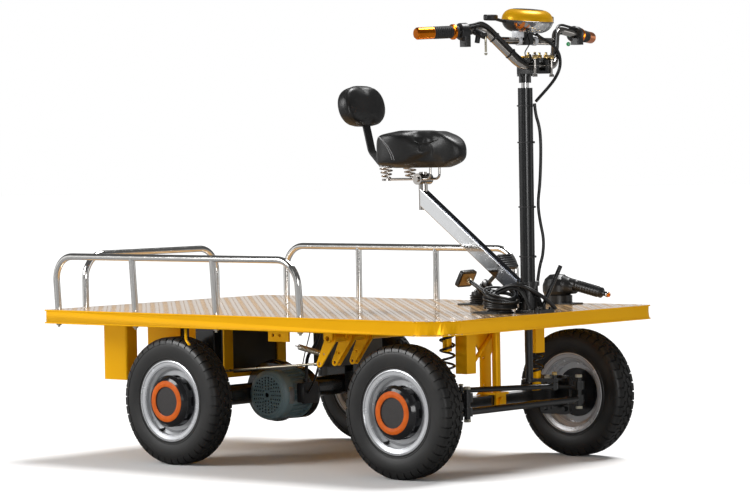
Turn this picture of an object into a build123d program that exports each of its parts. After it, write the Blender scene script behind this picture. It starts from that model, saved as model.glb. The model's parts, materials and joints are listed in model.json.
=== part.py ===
from build123d import *
from math import atan2, cos, radians, sin, tan
import os

os.makedirs("parts", exist_ok=True)

# Electric platform truck. Millimetres, X forward, Y to the left, Z up,
# origin on the floor under the middle of the deck.

# Deck
deckLength = 1512
deckWidth = 952
deckTop = 435
deckSheet = 4
edgeDepth = 40.5
edgeSheet = 4
edgeRecess = 3
frontCornerRadius = 95

# Running gear
wheelbase = 820
rearAxleX = -270
frontHalfTrack = 386
rearHalfTrack = 417
kingpinY = 250
knuckleArm = 110

# Wheel
tyreRadius = 183
beadRadius = 102
rimLipRadius = 116
hubRadius = 74
hubFaceOffset = 50
stubRadius = 12.5
runningGap = 0.05

# Steering column and handlebar
columnSetback = 77
columnTop = 1055
columnOuterRadius = 20.5
columnWall = 3
shaftRadius = 11
shaftTop = 1085
barRadius = 11

# Rails
railTube = 10
railHeight = 157
railBend = 72
railInset = 25

# Seat
beamHeight = 42
beamWidth = 28
seatPostX = 307
seatPostRadius = 11
saddleBottom = 846
saddleTop = 936

frontEdge = deckLength / 2
rearEdge = -frontEdge
sideEdge = deckWidth / 2
frontAxleX = rearAxleX + wheelbase
columnX = frontEdge - columnSetback
axleZ = tyreRadius
deckBottom = deckTop - deckSheet
edgeBottom = deckTop - edgeDepth


# Helpers
def block(x0, x1, y0, y1, z0, z1):
    centre = Pos((x0 + x1) / 2, (y0 + y1) / 2, (z0 + z1) / 2)
    return centre * Box(abs(x1 - x0), abs(y1 - y0), abs(z1 - z0))


def rod(start, end, radius):
    a = Vector(*start)
    b = Vector(*end)
    base = Plane(origin=a, z_dir=b - a)
    bottom = (Align.CENTER, Align.CENTER, Align.MIN)
    return base * Cylinder(radius, (b - a).length, align=bottom)


def post(x, y, z0, z1, radius):
    return rod((x, y, z0), (x, y, z1), radius)


def tubeAlong(points, radii, radius):
    path = FilletPolyline(*points, radius=radii)
    return sweep(Plane(origin=path @ 0, z_dir=path % 0) * Circle(radius), path=path)


def turned(start, end, points):
    # a turned piece on the line from start to end; points are (radius, distance from start)
    a = Vector(*start)
    base = Plane(origin=a, z_dir=Vector(*end) - a)
    face = make_face(Polyline(*[(r, 0, t) for r, t in points], close=True))
    return base * revolve(face, Axis.Z)


def ridges(count, first, last, inner, outer):
    # the outer line of a ribbed sleeve: (radius, distance) with one rib after another
    pitch = (last - first) / count
    line = []
    for k in range(count):
        t = first + k * pitch
        line += [(inner, t), (outer, t + 0.25 * pitch), (outer, t + 0.65 * pitch), (inner, t + 0.9 * pitch)]
    return line


def spun(points, side=1):
    # points are (radius, outboard offset); the axis is Y
    corners = [(r, side * t) for r, t in points]
    face = make_face(Polyline(*corners, close=True))
    return revolve(Plane.XY * face, Axis.Y)


def plateXZ(points, y0, y1, holes=()):
    face = make_face(Polyline(*points, close=True))
    for x, z, r in holes:
        face -= Pos(x, z) * Circle(r)
    return extrude(Plane(origin=(0, y1, 0), x_dir=(1, 0, 0), z_dir=(0, -1, 0)) * face, y1 - y0)


def plateYZ(points, x0, x1, holes=()):
    face = make_face(Polyline(*points, close=True))
    for y, z, r in holes:
        face -= Pos(y, z) * Circle(r)
    return extrude(Plane(origin=(x0, 0, 0), x_dir=(0, 1, 0), z_dir=(1, 0, 0)) * face, x1 - x0)


def plateXY(points, z0, z1, holes=()):
    face = make_face(Polyline(*points, close=True))
    for x, y, r in holes:
        face -= Pos(x, y) * Circle(r)
    return extrude(Plane(origin=(0, 0, z0)) * face, z1 - z0)


def save(node, shape):
    export_step(shape, "parts/" + node + ".step")


# Deck: chequer sheet with a rolled edge, the front corners round, the rear ones square
def deckOutline(inset):
    left = rearEdge + inset
    right = frontEdge - inset
    half = sideEdge - inset
    corner = frontCornerRadius - inset
    sheet = Pos((left + right) / 2, 0) * Rectangle(right - left, 2 * half)
    return fillet(sheet.vertices().group_by(Axis.X)[-1], corner)


def makeDeck():
    lip = extrude(Plane(origin=(0, 0, edgeBottom)) * deckOutline(0), edgeDepth)
    groove = deckOutline(-5) - deckOutline(edgeRecess)
    grooveHeight = edgeDepth - 2 * deckSheet
    lip -= extrude(Plane(origin=(0, 0, edgeBottom + deckSheet)) * groove, grooveHeight)
    inside = deckOutline(edgeRecess + edgeSheet)
    lip -= extrude(Plane(origin=(0, 0, edgeBottom)) * inside, edgeDepth - deckSheet)
    lip -= post(columnX, 0, edgeBottom, deckTop + 1, columnOuterRadius + 1)
    # hook under the near edge, behind the rear wheel's middle
    x, y, z = hookPlace
    return lip + tubeAlong([(x, y, edgeBottom + 2), (x, y, z + 14), (x + 14, y, z)], [12], 4)


# Chassis frame under the deck
frameRailY = 210
frameRailWidth = 34
frameTop = deckBottom
frameBottom = edgeBottom + 0.5
frameInset = 12
frameHalf = sideEdge - 14
frontMemberCut = 70
crossShaft = (245, 370)
cageX = (rearEdge + 86, rearAxleX - 84)
springPlate = (crossShaft[0] - 239, -330, 355)
springPlateWidth = 78
hookPlace = (rearAxleX + 87, 5 - sideEdge, 348)
# cross members: X place, width, half length
crossMembers = (
    (rearEdge + 106, 34, frameHalf),
    (cageX[1] - 19, 34, frameHalf),
    (rearAxleX, 34, frameHalf),
    (rearAxleX + 150, 34, frameHalf),
    (crossShaft[0], 34, frameHalf),
    (frontAxleX + 15, 80, frameHalf),
    (frontEdge - 36, 34, frameHalf - frontMemberCut),
)


def makeFrame():
    shape = None
    x0, x1 = rearEdge + frameInset, frontEdge - frameInset
    for side in (-1, 1):
        y = side * frameRailY
        rail = block(x0, x1, y - frameRailWidth / 2, y + frameRailWidth / 2, frameBottom, frameTop)
        shape = rail if shape is None else shape + rail
    for x, width, half in crossMembers:
        shape += block(x - width / 2, x + width / 2, -half, half, frameBottom, frameTop)
    # strip under the near rail that carries the return spring's plate with its two holes
    x, y, z = springPlate
    shape += block(x, x + springPlateWidth, y - 3, -frameRailY, frameBottom - 5, frameBottom)
    return shape + plateXZ([(x, frameBottom), (x, z), (x + springPlateWidth, z), (x + springPlateWidth, frameBottom)],
                           y - 3, y + 3, [(x + 18, z + 18, 5), (x + 44, z + 18, 5)])


save("deck", makeDeck())
save("frame", makeFrame())

# Tube rails: direction, fixed coordinate, outward lean, post distances from the rear edge or the middle
railSide = sideEdge - railInset
rails = {
    "rail_near": dict(along="x", at=-railSide, lean=-11, posts=[rearEdge + d for d in (34, 353, 673, 992)]),
    "rail_far": dict(along="x", at=railSide, lean=0, posts=[rearEdge + d for d in (120, 422, 731, 1036)]),
    "rail_rear": dict(along="y", at=rearEdge + railInset, lean=0, posts=[-331, 232]),
}


def railPoint(rail, along, z, lean):
    across = rail["at"] + lean
    return (along, across, z) if rail["along"] == "x" else (across, along, z)


def makeRail(rail):
    first, last = rail["posts"][0], rail["posts"][-1]
    top = deckTop + railHeight
    lean = rail["lean"]
    corners = [(first, deckTop, 0), (first, top, lean), (last, top, lean), (last, deckTop, 0)]
    points = [railPoint(rail, a, z, shift) for a, z, shift in corners]
    shape = tubeAlong(points, [railBend, railBend], railTube)
    for along in rail["posts"][1:-1]:
        foot = railPoint(rail, along, deckTop, 0)
        head = railPoint(rail, along, top, lean)
        shape += rod(foot, head, railTube - 0.4)
    return shape - block(-deckLength, deckLength, -deckWidth, deckWidth, deckTop - 30, deckTop)


for node, rail in rails.items():
    save(node, makeRail(rail))


# Wheels
# tyre outline: radius, outboard offset
tyreSection = [
    (beadRadius, -30), (118, -33), (135, -38.5), (152, -40), (166, -38), (174, -33),
    (180, -24), (tyreRadius, -10), (tyreRadius, 10), (180, 24), (174, 33), (166, 38),
    (152, 40), (135, 38.5), (118, 33), (beadRadius, 30),
]
lugCount = 26
lugGap = 9
lugDepth = 5
lugPlace = 32


def makeTyre():
    tyre = spun(tyreSection)
    for k in range(lugCount):
        for side in (-1, 1):
            turn = 360 / lugCount * (k + (0.5 if side > 0 else 0))
            depth = 2 * lugDepth + 12
            notch = Pos(tyreRadius - lugDepth / 2 + 6, side * lugPlace, 0) * Box(depth, 26, lugGap)
            tyre -= Rot(0, turn, 0) * notch
    return tyre


# rim sheet, outside then inside: radius, outboard offset
rimOuter = [(rimLipRadius, 36), (115, 33), (beadRadius, 30.5), (beadRadius, 17), (90, 11), (90, -11),
            (beadRadius, -17), (beadRadius, -30.5), (115, -33), (rimLipRadius, -36)]
rimInner = [(113, -37), (111, -35), (99, -32), (99, -18.5), (87, -12.5), (87, 4), (70, 4), (70, 8), (86, 8),
            (92, 14), (99, 19), (99, 32), (111, 35), (113, 37)]
valveSpot = (-45, -84)
valveRadius = 5
# drum with its cap, closed over the stub axle: radius, outboard offset
drumSection = [(stubRadius + runningGap, -16), (34, -16), (34, 0), (69.8, 0), (69.8, 10), (hubRadius, 10),
               (hubRadius, 38), (66, 46), (58.5, hubFaceOffset), (56, 51.5), (50, 52.5), (44, 51.5),
               (41.5, hubFaceOffset), (41.5, 47), (0, 47), (0, 20), (stubRadius + runningGap, 20)]
windowCount = 10
windowSize = (10, 22, 25)
windowOffset = 25


def makeRim(side):
    rim = spun([(r, t) for r, t in rimOuter + rimInner], side)
    x, z = valveSpot
    return rim - rod((x, side * 5, z), (x, side * 25, z), valveRadius)


def makeHub(side):
    hub = spun(drumSection, side)
    for k in range(windowCount):
        window = Pos(hubRadius, side * windowOffset, 0) * Box(*windowSize)
        hub -= Rot(0, 360 / windowCount * k, 0) * window
    return hub


# wheels: X place, Y place, outboard side
wheels = {
    "front_left": (frontAxleX, frontHalfTrack, 1),
    "front_right": (frontAxleX, -frontHalfTrack, -1),
    "rear_left": (rearAxleX, rearHalfTrack, 1),
    "rear_right": (rearAxleX, -rearHalfTrack, -1),
}
tyre = makeTyre()
for place, (x, y, side) in wheels.items():
    spot = Pos(x, y, axleZ)
    save("tyre_" + place, spot * tyre)
    save("rim_" + place, spot * makeRim(side))
    save("hub_" + place, spot * makeHub(side))


# Rear axle with its differential and gear case
axleTubeRadius = 30
diffRadius = 88
diffHalf = 40
flangeRadius = 92
flangeHalf = 6
flangeBolts = 12
gearCaseHalf = 13
bracketY = 285
bracketHalf = 20
stubEndOffset = 18
backingRadius = 62
# the housing's outline, flat at the motor's side: radius, distance from the middle
diffSection = [(0, 44), (axleTubeRadius + 8, 44), (58, diffHalf), (76, 32), (diffRadius, 20),
               (diffRadius, -26), (72, -diffHalf), (0, -diffHalf)]

# Drive motor beside the differential
motorX = rearAxleX + 110
motorZ = axleZ + 1
motorRadius = 73
motorEnd = -163
motorFlange = -diffHalf
coverLength = 40
coverRound = 14
motorBody = 62
finCount = 24
finHeight = 6
finWidth = 3.2
# rings of square holes in the fan cover: ring radius, holes
fanRings = ((19, 10), (27, 14), (35, 18), (43, 22), (51, 26))
fanHole = 5.2
fanHoleDepth = 6


def makeDifferential():
    ring = [(0, -flangeHalf), (flangeRadius, -flangeHalf), (flangeRadius, flangeHalf), (0, flangeHalf)]
    housing = spun(diffSection) + spun(ring)
    for k in range(flangeBolts):
        head = Pos(flangeRadius - 7, 0, 0) * Rot(90, 0, 0) * Cylinder(5.5, 2 * flangeHalf + 10)
        housing += Rot(0, 360 / flangeBolts * k, 0) * head
    return Pos(rearAxleX, 0, axleZ) * housing


def makeGearCase():
    # flat case that joins the differential to the motor's face
    z = axleZ
    plane = Plane(origin=(0, motorFlange + 2 * gearCaseHalf, 0), x_dir=(1, 0, 0), z_dir=(0, -1, 0))
    around = make_hull((Pos(rearAxleX, z) * Circle(diffRadius - 4)).edges() + (Pos(motorX, motorZ) * Circle(motorRadius + 2)).edges())
    return extrude(plane * around, 2 * gearCaseHalf)


def makeRearAxle():
    tubeEnd = rearHalfTrack - 50
    shape = rod((rearAxleX, -tubeEnd, axleZ), (rearAxleX, tubeEnd, axleZ), axleTubeRadius)
    shape += makeDifferential() + makeGearCase()
    for side in (-1, 1):
        inner = side * (tubeEnd - 1)
        outer = side * (rearHalfTrack + stubEndOffset)
        shape += rod((rearAxleX, inner, axleZ), (rearAxleX, outer, axleZ), stubRadius)
        backing = side * (rearHalfTrack - 40)
        shape += rod((rearAxleX, inner, axleZ), (rearAxleX, backing, axleZ), backingRadius)
        y = side * bracketY
        cheeks = block(rearAxleX - 35, rearAxleX + 35, y - bracketHalf, y + bracketHalf, axleZ - 20, frameBottom)
        cheeks -= block(rearAxleX - 40, rearAxleX + 40, y - bracketHalf + 6, y + bracketHalf - 6,
                        axleZ + 40, frameBottom - 8)
        shape += cheeks
        shape += block(rearAxleX - 60, rearAxleX + 60, y - 25, y + 25, frameBottom - 8, frameBottom)
    return shape


def makeMotor():
    cover = turned((motorX, motorEnd, motorZ), (motorX, motorEnd + coverLength, motorZ),
                   [(0, 0), (motorRadius - coverRound, 0), (motorRadius - 5, 4), (motorRadius - 1, 10),
                    (motorRadius, coverRound), (motorRadius, coverLength), (0, coverLength)])
    face = Plane(origin=(motorX, motorEnd, motorZ), x_dir=(1, 0, 0), z_dir=(0, -1, 0))
    holes = Sketch() + Circle(7)
    for radius, count in fanRings:
        holes += [spot * Rectangle(fanHole, fanHole) for spot in PolarLocations(radius, count)]
    cover -= extrude(face * holes, -fanHoleDepth)
    fins = Sketch() + Circle(motorBody)
    fins += [spot * Rectangle(2 * finHeight, finWidth) for spot in PolarLocations(motorBody, finCount)]
    middle = Plane(origin=(motorX, motorEnd + coverLength, motorZ), x_dir=(1, 0, 0), z_dir=(0, 1, 0))
    body = extrude(middle * fins, motorFlange - motorEnd - coverLength)
    flange = rod((motorX, motorFlange - 8, motorZ), (motorX, motorFlange, motorZ), motorRadius)
    return cover + body + flange


def makeTerminalBox():
    x0 = motorX + motorBody + finHeight
    case = block(x0, x0 + 26, -107, -52, motorZ - 22, motorZ + 34)
    case = fillet(case.edges().filter_by(Axis.Y), 4)
    lid = block(x0 + 20, x0 + 30, -110, -49, motorZ - 25, motorZ + 37)
    case += fillet(lid.edges().filter_by(Axis.X), 5)
    gland = rod((x0 + 13, -80, motorZ + 34), (x0 + 13, -80, motorZ + 46), 9)
    return case + gland


save("rear_axle", makeRearAxle())
save("motor", makeMotor())
save("terminal_box", makeTerminalBox())

# Battery cage and the boxes beside it
cageHalf = 135
cageBottom = 225
cageBar = 12
cageSheet = 4
cageLeg = 38
cageClearance = 2


def makeCage():
    x0, x1 = cageX
    shape = block(x0, x1, -cageHalf, cageHalf, cageBottom, cageBottom + cageSheet)
    for y in (-cageHalf, cageHalf - cageSheet):
        for x in (x0, x1 - cageLeg):
            shape += block(x, x + cageLeg, y, y + cageSheet, cageBottom, frameBottom)
        shape += block(x0, x0 + 136, y, y + cageSheet, cageBottom, frameBottom)
        shape += block(x0 + 174, x0 + 210, y, y + cageSheet, cageBottom, frameBottom)
        shape += block(x0, x1, y, y + cageSheet, cageBottom, cageBottom + cageBar)
        shape += block(x0, x1, y, y + cageSheet, frameBottom - cageBar, frameBottom)
    for x in (x0, x1 - cageSheet):
        for y in (-cageHalf, cageHalf - cageLeg):
            shape += block(x, x + cageSheet, y, y + cageLeg, cageBottom, frameBottom)
        shape += block(x, x + cageSheet, -cageHalf, cageHalf, cageBottom, cageBottom + cageBar)
    return shape


def makeBatteries():
    gap = cageSheet + cageClearance
    return block(cageX[0] + gap, cageX[1] - gap, -cageHalf + gap, cageHalf - gap,
                 cageBottom + cageSheet, frameBottom - cageSheet)


def sheetBox(x0, x1, y0, y1, z0):
    # folded box with rounded upright corners
    box = block(x0, x1, y0, y1, z0, frameBottom)
    return fillet(box.edges().filter_by(Axis.Z), 6)


save("battery_cage", makeCage())
save("batteries", makeBatteries())
save("charger_box", sheetBox(rearEdge + 64, rearEdge + 161, -300, -252, 221))
save("controller_box", sheetBox(rearAxleX + 100, rearAxleX + 167, 50, 290, 255))

# Front axle beam on its centre fork, with springs and stops
beamHalf = 20
beamBossRadius = 20
kingpinRadius = 10
springY = 198
springRadius = 19
springWire = 3.5
springTurns = 6.5
pivotRadius = 8
forkTube = 12


def makeBeam():
    z0, z1 = axleZ - beamHalf, axleZ + beamHalf
    shape = block(frontAxleX - beamHalf, frontAxleX + beamHalf, -kingpinY, kingpinY, z0, z1)
    shape -= rod((frontAxleX - 50, 0, axleZ), (frontAxleX + 50, 0, axleZ), pivotRadius + runningGap)
    for side in (-1, 1):
        shape += post(frontAxleX, side * kingpinY, z0, z1, beamBossRadius)
        shape -= post(frontAxleX, side * kingpinY, z0 - 1, z1 + 1, kingpinRadius + runningGap)
    return shape


def makeFork():
    z0 = axleZ + beamHalf + 1
    foot = block(frontAxleX - 30, frontAxleX + 32, -30, 30, z0, z0 + 6)
    cheeks = [block(frontAxleX + x, frontAxleX + x + 6, -22, 22, axleZ - 16, z0 + 6) for x in (-28, 22)]
    tube = post(frontAxleX + 13, 0, z0, frameBottom, forkTube)
    # flat plate with its two gussets, and a hole in each
    plate = [(-52, z0), (-34, z0 + 14), (-34, 318), (-88, frameBottom), (58, frameBottom), (10, 312), (10, z0)]
    web = plateYZ(plate, frontAxleX - 20, frontAxleX - 14, [(-22, 306, 4), (-20, 230, 4), (-62, 376, 5)])
    # bump strut beside the tube
    strut = rod((frontAxleX - 9, -76, 296), (frontAxleX - 9, 28, frameBottom - 8), 6)
    bolt = rod((frontAxleX - 34, 0, axleZ), (frontAxleX + 36, 0, axleZ), pivotRadius)
    heads = rod((frontAxleX + 28, 0, axleZ), (frontAxleX + 35, 0, axleZ), 14)
    heads += rod((frontAxleX - 35, 0, axleZ), (frontAxleX - 28, 0, axleZ), 14)
    return foot + cheeks[0] + cheeks[1] + tube + web + strut + bolt + heads


# stops: Y place, lower end
stops = ((-154, 272), (154, 312))
stopHalf = 20
stopWall = 3


def makeStops():
    x = frontAxleX + 29
    tubes = []
    for y, z in stops:
        outer = block(x - stopHalf, x + stopHalf, y - stopHalf, y + stopHalf, z, frameBottom)
        hollow = stopHalf - stopWall
        tubes.append(outer - block(x - hollow, x + hollow, y - hollow, y + hollow, z - 1, z + 30))
    return Compound(tubes)


springBottom = axleZ + beamHalf


def makeSpring(side):
    height = frameBottom - springBottom - 2 * springWire
    helix = Helix(height / springTurns, height, springRadius)
    coil = sweep(Plane(origin=helix @ 0, z_dir=helix % 0) * Circle(springWire), path=helix, is_frenet=True)
    return Pos(frontAxleX, side * springY, springBottom + springWire) * coil


def makeGuides(side):
    low = post(frontAxleX, side * springY, springBottom, springBottom + 60, 13)
    high = post(frontAxleX, side * springY, frameBottom - 60, frameBottom, 13)
    return [low, high]


save("front_beam", makeBeam())
save("pivot_fork", makeFork())
save("axle_stops", makeStops())
save("front_springs", Compound([makeSpring(-1), makeSpring(1)]))
save("spring_guides", Compound(makeGuides(-1) + makeGuides(1)))

# Knuckles with their stub axles and arms
yokeGap = 1
yokeThickness = 10
yokeHalf = 22
plateHalf = 52
plateHeight = 56
plateRound = 14
armPinX = frontAxleX + knuckleArm
armHalf = 14
dragOffset = (66, 28)
tieZ = 177
dragZ = 232
pinRadius = 9
dragPinRadius = 5


def makeKnuckle(side):
    y = side * kingpinY
    top = axleZ + beamHalf + yokeGap
    low = axleZ - beamHalf - yokeGap
    armTop = top + yokeThickness
    outer = side * (kingpinY + 30)
    back = side * (kingpinY + 44)
    shape = post(frontAxleX, y, low - yokeThickness - 8, armTop + 8, kingpinRadius)
    for z0, z1 in ((low - yokeThickness, low), (top, armTop)):
        shape += post(frontAxleX, y, z0, z1, yokeHalf)
        shape += block(frontAxleX - yokeHalf, frontAxleX + yokeHalf, y, outer, z0, z1)
    shape += post(frontAxleX, y, armTop, armTop + 6, 16)
    # square mounting plate with round corners, and its stub axle
    plate = block(frontAxleX - plateHalf, frontAxleX + plateHalf, outer, back, axleZ - plateHeight, axleZ + plateHeight)
    shape += fillet(plate.edges().filter_by(Axis.Y), plateRound)
    for dx in (-1, 1):
        for dz in (-1, 1):
            x, z = frontAxleX + dx * (plateHalf - 16), axleZ + dz * (plateHeight - 16)
            shape += rod((x, outer - side * 8, z), (x, back + side * 6, z), 7)
    shape += rod((frontAxleX, back, axleZ), (frontAxleX, side * (frontHalfTrack - 20), axleZ), 20)
    shape += rod((frontAxleX, back, axleZ), (frontAxleX, side * (frontHalfTrack + stubEndOffset), axleZ), stubRadius)
    # steering arm forward to the tie rod pin
    shape += block(frontAxleX + 15, armPinX, y - armHalf, y + armHalf, top, armTop)
    shape += post(armPinX, y, tieZ - 20, armTop + 24, pinRadius)
    shape += post(armPinX, y, top, armTop + 14, 16)
    if side < 0:
        # ear with the drag link's pin
        x, pinY = frontAxleX + dragOffset[0], y + dragOffset[1]
        shape += block(x - 10, x + 10, y, pinY, top, armTop)
        shape += post(x, pinY, top, armTop, 10)
        shape += post(x, pinY, top, dragZ + 12, dragPinRadius)
    return shape


for side, name in ((-1, "right"), (1, "left")):
    save("knuckle_" + name, makeKnuckle(side))


# Tie rod between the arm pins, drag link from the drop arm to the right knuckle
def makeLink(start, end, radius, eyeRadius, bore, eyeHalf):
    shape = rod(start, end, radius)
    for x, y, z in (start, end):
        shape += post(x, y, z - eyeHalf, z + eyeHalf, eyeRadius)
    for x, y, z in (start, end):
        shape -= post(x, y, z - eyeHalf - 1, z + eyeHalf + 1, bore + 0.1)
    return shape


tieEnds = [(armPinX, side * kingpinY, tieZ) for side in (-1, 1)]
save("tie_rod", makeLink(*tieEnds, 10, 15, pinRadius, 12))
dragStart = (frontAxleX + dragOffset[0], -kingpinY + dragOffset[1], dragZ)
dragEnd = (columnX + dragOffset[0], dragOffset[1], dragZ)
save("drag_link", makeLink(dragStart, dragEnd, 7.5, 10, dragPinRadius, 9))

# Steering column: fixed outer tube, base on the deck, turning shaft with its drop arm
columnBottom = edgeBottom + 7.5
baseX = (columnX - 19, columnX + 66)
baseHalf = 43
baseThickness = 9
baseRound = 14
socketRadius = 28
socketTop = 521
collarHeight = 12
bushLength = 20
dropArmZ = (244, 252)
dropArmHub = 17


def makeColumnTube():
    shape = post(columnX, 0, columnBottom, columnTop, columnOuterRadius)
    shape -= post(columnX, 0, columnBottom - 1, columnTop + 1, columnOuterRadius - columnWall)
    for z in (columnBottom, columnTop - bushLength):
        bush = post(columnX, 0, z, z + bushLength, columnOuterRadius - columnWall)
        shape += bush - post(columnX, 0, z - 1, z + bushLength + 1, shaftRadius + runningGap)
    return shape


def makeColumnBase():
    x0, x1 = baseX
    foot = block(x0, x1, -baseHalf, baseHalf, deckTop, deckTop + baseThickness)
    shape = fillet(foot.edges().filter_by(Axis.Z), baseRound)
    shape += post(columnX, 0, deckTop, socketTop, socketRadius)
    shape += post(columnX, 0, socketTop - collarHeight, socketTop, socketRadius + 4)
    # front gusset and two side ones
    shape += plateXZ([(columnX, deckTop), (x1 - 8, deckTop), (columnX + 30, socketTop - 20), (columnX, socketTop - 20)], -4, 4)
    shape += plateYZ([(-40, deckTop), (40, deckTop), (26, socketTop - 30), (-26, socketTop - 30)], columnX - 4, columnX + 4)
    for side in (-1, 1):
        for x in (x0 + 12, x1 - 12):
            shape += post(x, side * (baseHalf - 12), deckTop + baseThickness, deckTop + baseThickness + 6, 6)
    return shape - post(columnX, 0, deckTop - 1, socketTop + 1, columnOuterRadius)


def makeShaft():
    shape = post(columnX, 0, dropArmZ[0], shaftTop, shaftRadius)
    dx, dy = dragOffset
    pinX = columnX + dx
    reach = atan2(dy, dx)
    # arm sides touch the hub and the end circle
    corners = []
    for x, y, r, side in ((columnX, 0, dropArmHub - 2, 1), (pinX, dy, 10, 1), (pinX, dy, 10, -1), (columnX, 0, dropArmHub - 2, -1)):
        corners.append((x - side * r * sin(reach), y + side * r * cos(reach)))
    arm = plateXY(corners, *dropArmZ)
    shape += arm + post(columnX, 0, *dropArmZ, dropArmHub) + post(pinX, dy, *dropArmZ, 10)
    return shape + post(pinX, dy, dragZ - 12, dropArmZ[1] + 12, dragPinRadius)


save("column_tube", makeColumnTube())
save("column_base", makeColumnBase())
save("steering_shaft", makeShaft())

# Stem and handlebar
stemZ = (1069, 1138)
stemRadius = 17
clampX = columnX + 43
barZ = 1115
clampSpacing = 25
clampHalf = (18, 11, 22)


def makeStem():
    cx, cy, cz = clampHalf
    shape = post(columnX, 0, *stemZ, stemRadius)
    shape += post(columnX, 0, stemZ[0] + 18, stemZ[0] + 46, stemRadius + 5)
    shape += block(columnX, clampX - cx + 4, -cy - clampSpacing, cy + clampSpacing, barZ - cz, barZ - 2)
    shape += block(clampX - cx, clampX + cx, -cy - clampSpacing, cy + clampSpacing, barZ - cz, barZ - cz + 8)
    for side in (-1, 1):
        y = side * clampSpacing
        clamp = block(clampX - cx, clampX + cx, y - cy, y + cy, barZ - cz, barZ + cz)
        clamp = fillet(clamp.edges().filter_by(Axis.Y), 7)
        # slit between the clamp and its cap, open to the front
        shape += clamp - block(clampX, clampX + cx + 1, y - cy - 1, y + cy + 1, barZ - 1, barZ + 1)
    shape -= rod((clampX, -60, barZ), (clampX, 60, barZ), barRadius + 0.1)
    return shape - post(columnX, 0, stemZ[0] - 1, shaftTop, shaftRadius)


# each bend of the left half: distance from the column, Y, Z, radius
barBends = [(43, 76, barZ, 45), (-17, 165, 1220, 45), (-7, 229, 1208, 40)]
barEnd = (columnX - 62, 384, 1201)
crossbar = (columnX + 4, 134, 1184)
gripRadius = 17
gripLength = 128
fitGap = 0.15


def mirrored(point):
    return (point[0], -point[1], point[2])


barCorners = [(columnX + dx, y, z) for dx, y, z, r in barBends]


def makeHandlebar():
    left = barCorners + [barEnd]
    points = [mirrored(p) for p in reversed(left)] + left
    radii = [r for dx, y, z, r in barBends]
    shape = tubeAlong(points, list(reversed(radii)) + radii, barRadius)
    return shape + rod(mirrored(crossbar), crossbar, barRadius - 1)


def barPoint(side, distance):
    # a place on the straight grip run, measured in from the bar's end
    end = Vector(*barEnd)
    p = end + (Vector(*barCorners[-1]) - end).normalized() * distance
    return (p.X, side * p.Y, p.Z)


def makeGrip(side):
    # end cap, ribbed rubber and the flanged ring, turned as one sleeve over the bar
    bore = barRadius + fitGap
    ribs = ridges(9, 50, 104, gripRadius - 1.5, gripRadius)
    outline = [(0, -6), (13, -6), (gripRadius - 0.5, -1), (gripRadius - 0.5, 48), *ribs, (gripRadius - 1, 106),
               (21, 108), (21, 114), (gripRadius, 116), (gripRadius, gripLength - 4), (bore, gripLength - 4), (bore, 0), (0, 0)]
    return turned(barPoint(side, 0), barPoint(side, gripLength), outline)


def makeControl(side):
    near = gripLength + 1
    outline = [(barRadius + fitGap, 0), (21, 0), (23, 3), (23, 23), (20, 27), (barRadius + fitGap, 27)]
    shape = turned(barPoint(side, near), barPoint(side, near + 30), outline)
    x, y, z = barPoint(side, near + 15)
    if side < 0:
        lever = block(x - 6, x + 18, y - 12, y + 12, z - 42, z - 12)
    else:
        lever = block(x - 8, x + 22, y - 13, y + 13, z - 30, z - 12)
    shape += fillet(lever.edges().filter_by(Axis.Z), 5)
    return shape - rod(barPoint(side, near - 6), barPoint(side, near + 60), barRadius + fitGap)


save("stem", makeStem())
save("handlebar", makeHandlebar())
save("grips", Compound([makeGrip(-1), makeGrip(1)]))
save("throttle_housing", makeControl(-1))
save("switch_housing", makeControl(1))

# Headlight pod on the crossbar: a domed shell over a dish that holds the lens, its nose turned down
podCentre = columnX + 11
podHalf = (66, 80)
podZ = 1240
podTilt = 6
# the ovals of shell and dish: share of the half sizes, height from the parting line
shellOvals = ((1, 0), (0.93, 16), (0.62, 30))
dishOvals = ((1, 0), (0.92, -16), (0.58, -32))
podGap = 0.3
lensFront = 14
lampPlace = (columnX - 18, 125, 1247)
lampHalf = (12, 28, 8)
standHalf = (14, 16)


def podLoft(ovals, lift):
    sections = [Plane(origin=(0, 0, z + lift)) * Ellipse(podHalf[0] * share, podHalf[1] * share) for share, z in ovals]
    return Pos(podCentre, 0, podZ) * Rot(0, podTilt, 0) * loft(sections)


def makePod():
    shell = podLoft(shellOvals, podGap)
    dish = podLoft(dishOvals, 0)
    front = block(podCentre + lensFront, podCentre + 200, -200, 200, podZ - 100, podZ + 100)
    lens = dish & front
    body = dish - front
    x, y, z = crossbar
    foot, top = z - barRadius, podZ + dishOvals[-1][1] + 8
    stand = block(x - standHalf[0], x + standHalf[0], -standHalf[1], standHalf[1], foot, top)
    body += stand - front - rod(mirrored(crossbar), crossbar, barRadius - 0.9)
    # turn lamps on their short stalks
    lx, ly, lz = lampPlace
    for side in (-1, 1):
        body += rod((podCentre - 10, side * 50, podZ - 10), (lx, side * (ly - 18), lz - 3), 4.5)
        leaf = extrude(Plane(origin=(lx, side * ly, lz - lampHalf[2])) * Ellipse(*lampHalf[:2]), 2 * lampHalf[2])
        rims = leaf.edges().group_by(Axis.Z)
        body += fillet(rims[0] + rims[-1], 4)
    return shell, body, lens


for node, shape in zip(("headlight_shell", "headlight_body", "headlight_lens"), makePod()):
    save(node, shape)

# Seat: beam from the column base, post, saddle and backrest
beamLow = (columnX - 81, 510)
beamHigh = (seatPostX + 2, 726)
beamAngle = atan2(beamHigh[1] - beamLow[1], beamHigh[0] - beamLow[0])
beamFoot = 70
beamWall = 2.5
sleeveZ = (718, 790)
clampZ = 806
seatClampRadius = 16
postTop = clampZ + 20
wireRadius = 3.5
wireZ = clampZ
seatSpring = dict(x=seatPostX - 92, y=52, radius=11, wire=2.2, turns=3, cone=14)


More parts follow.
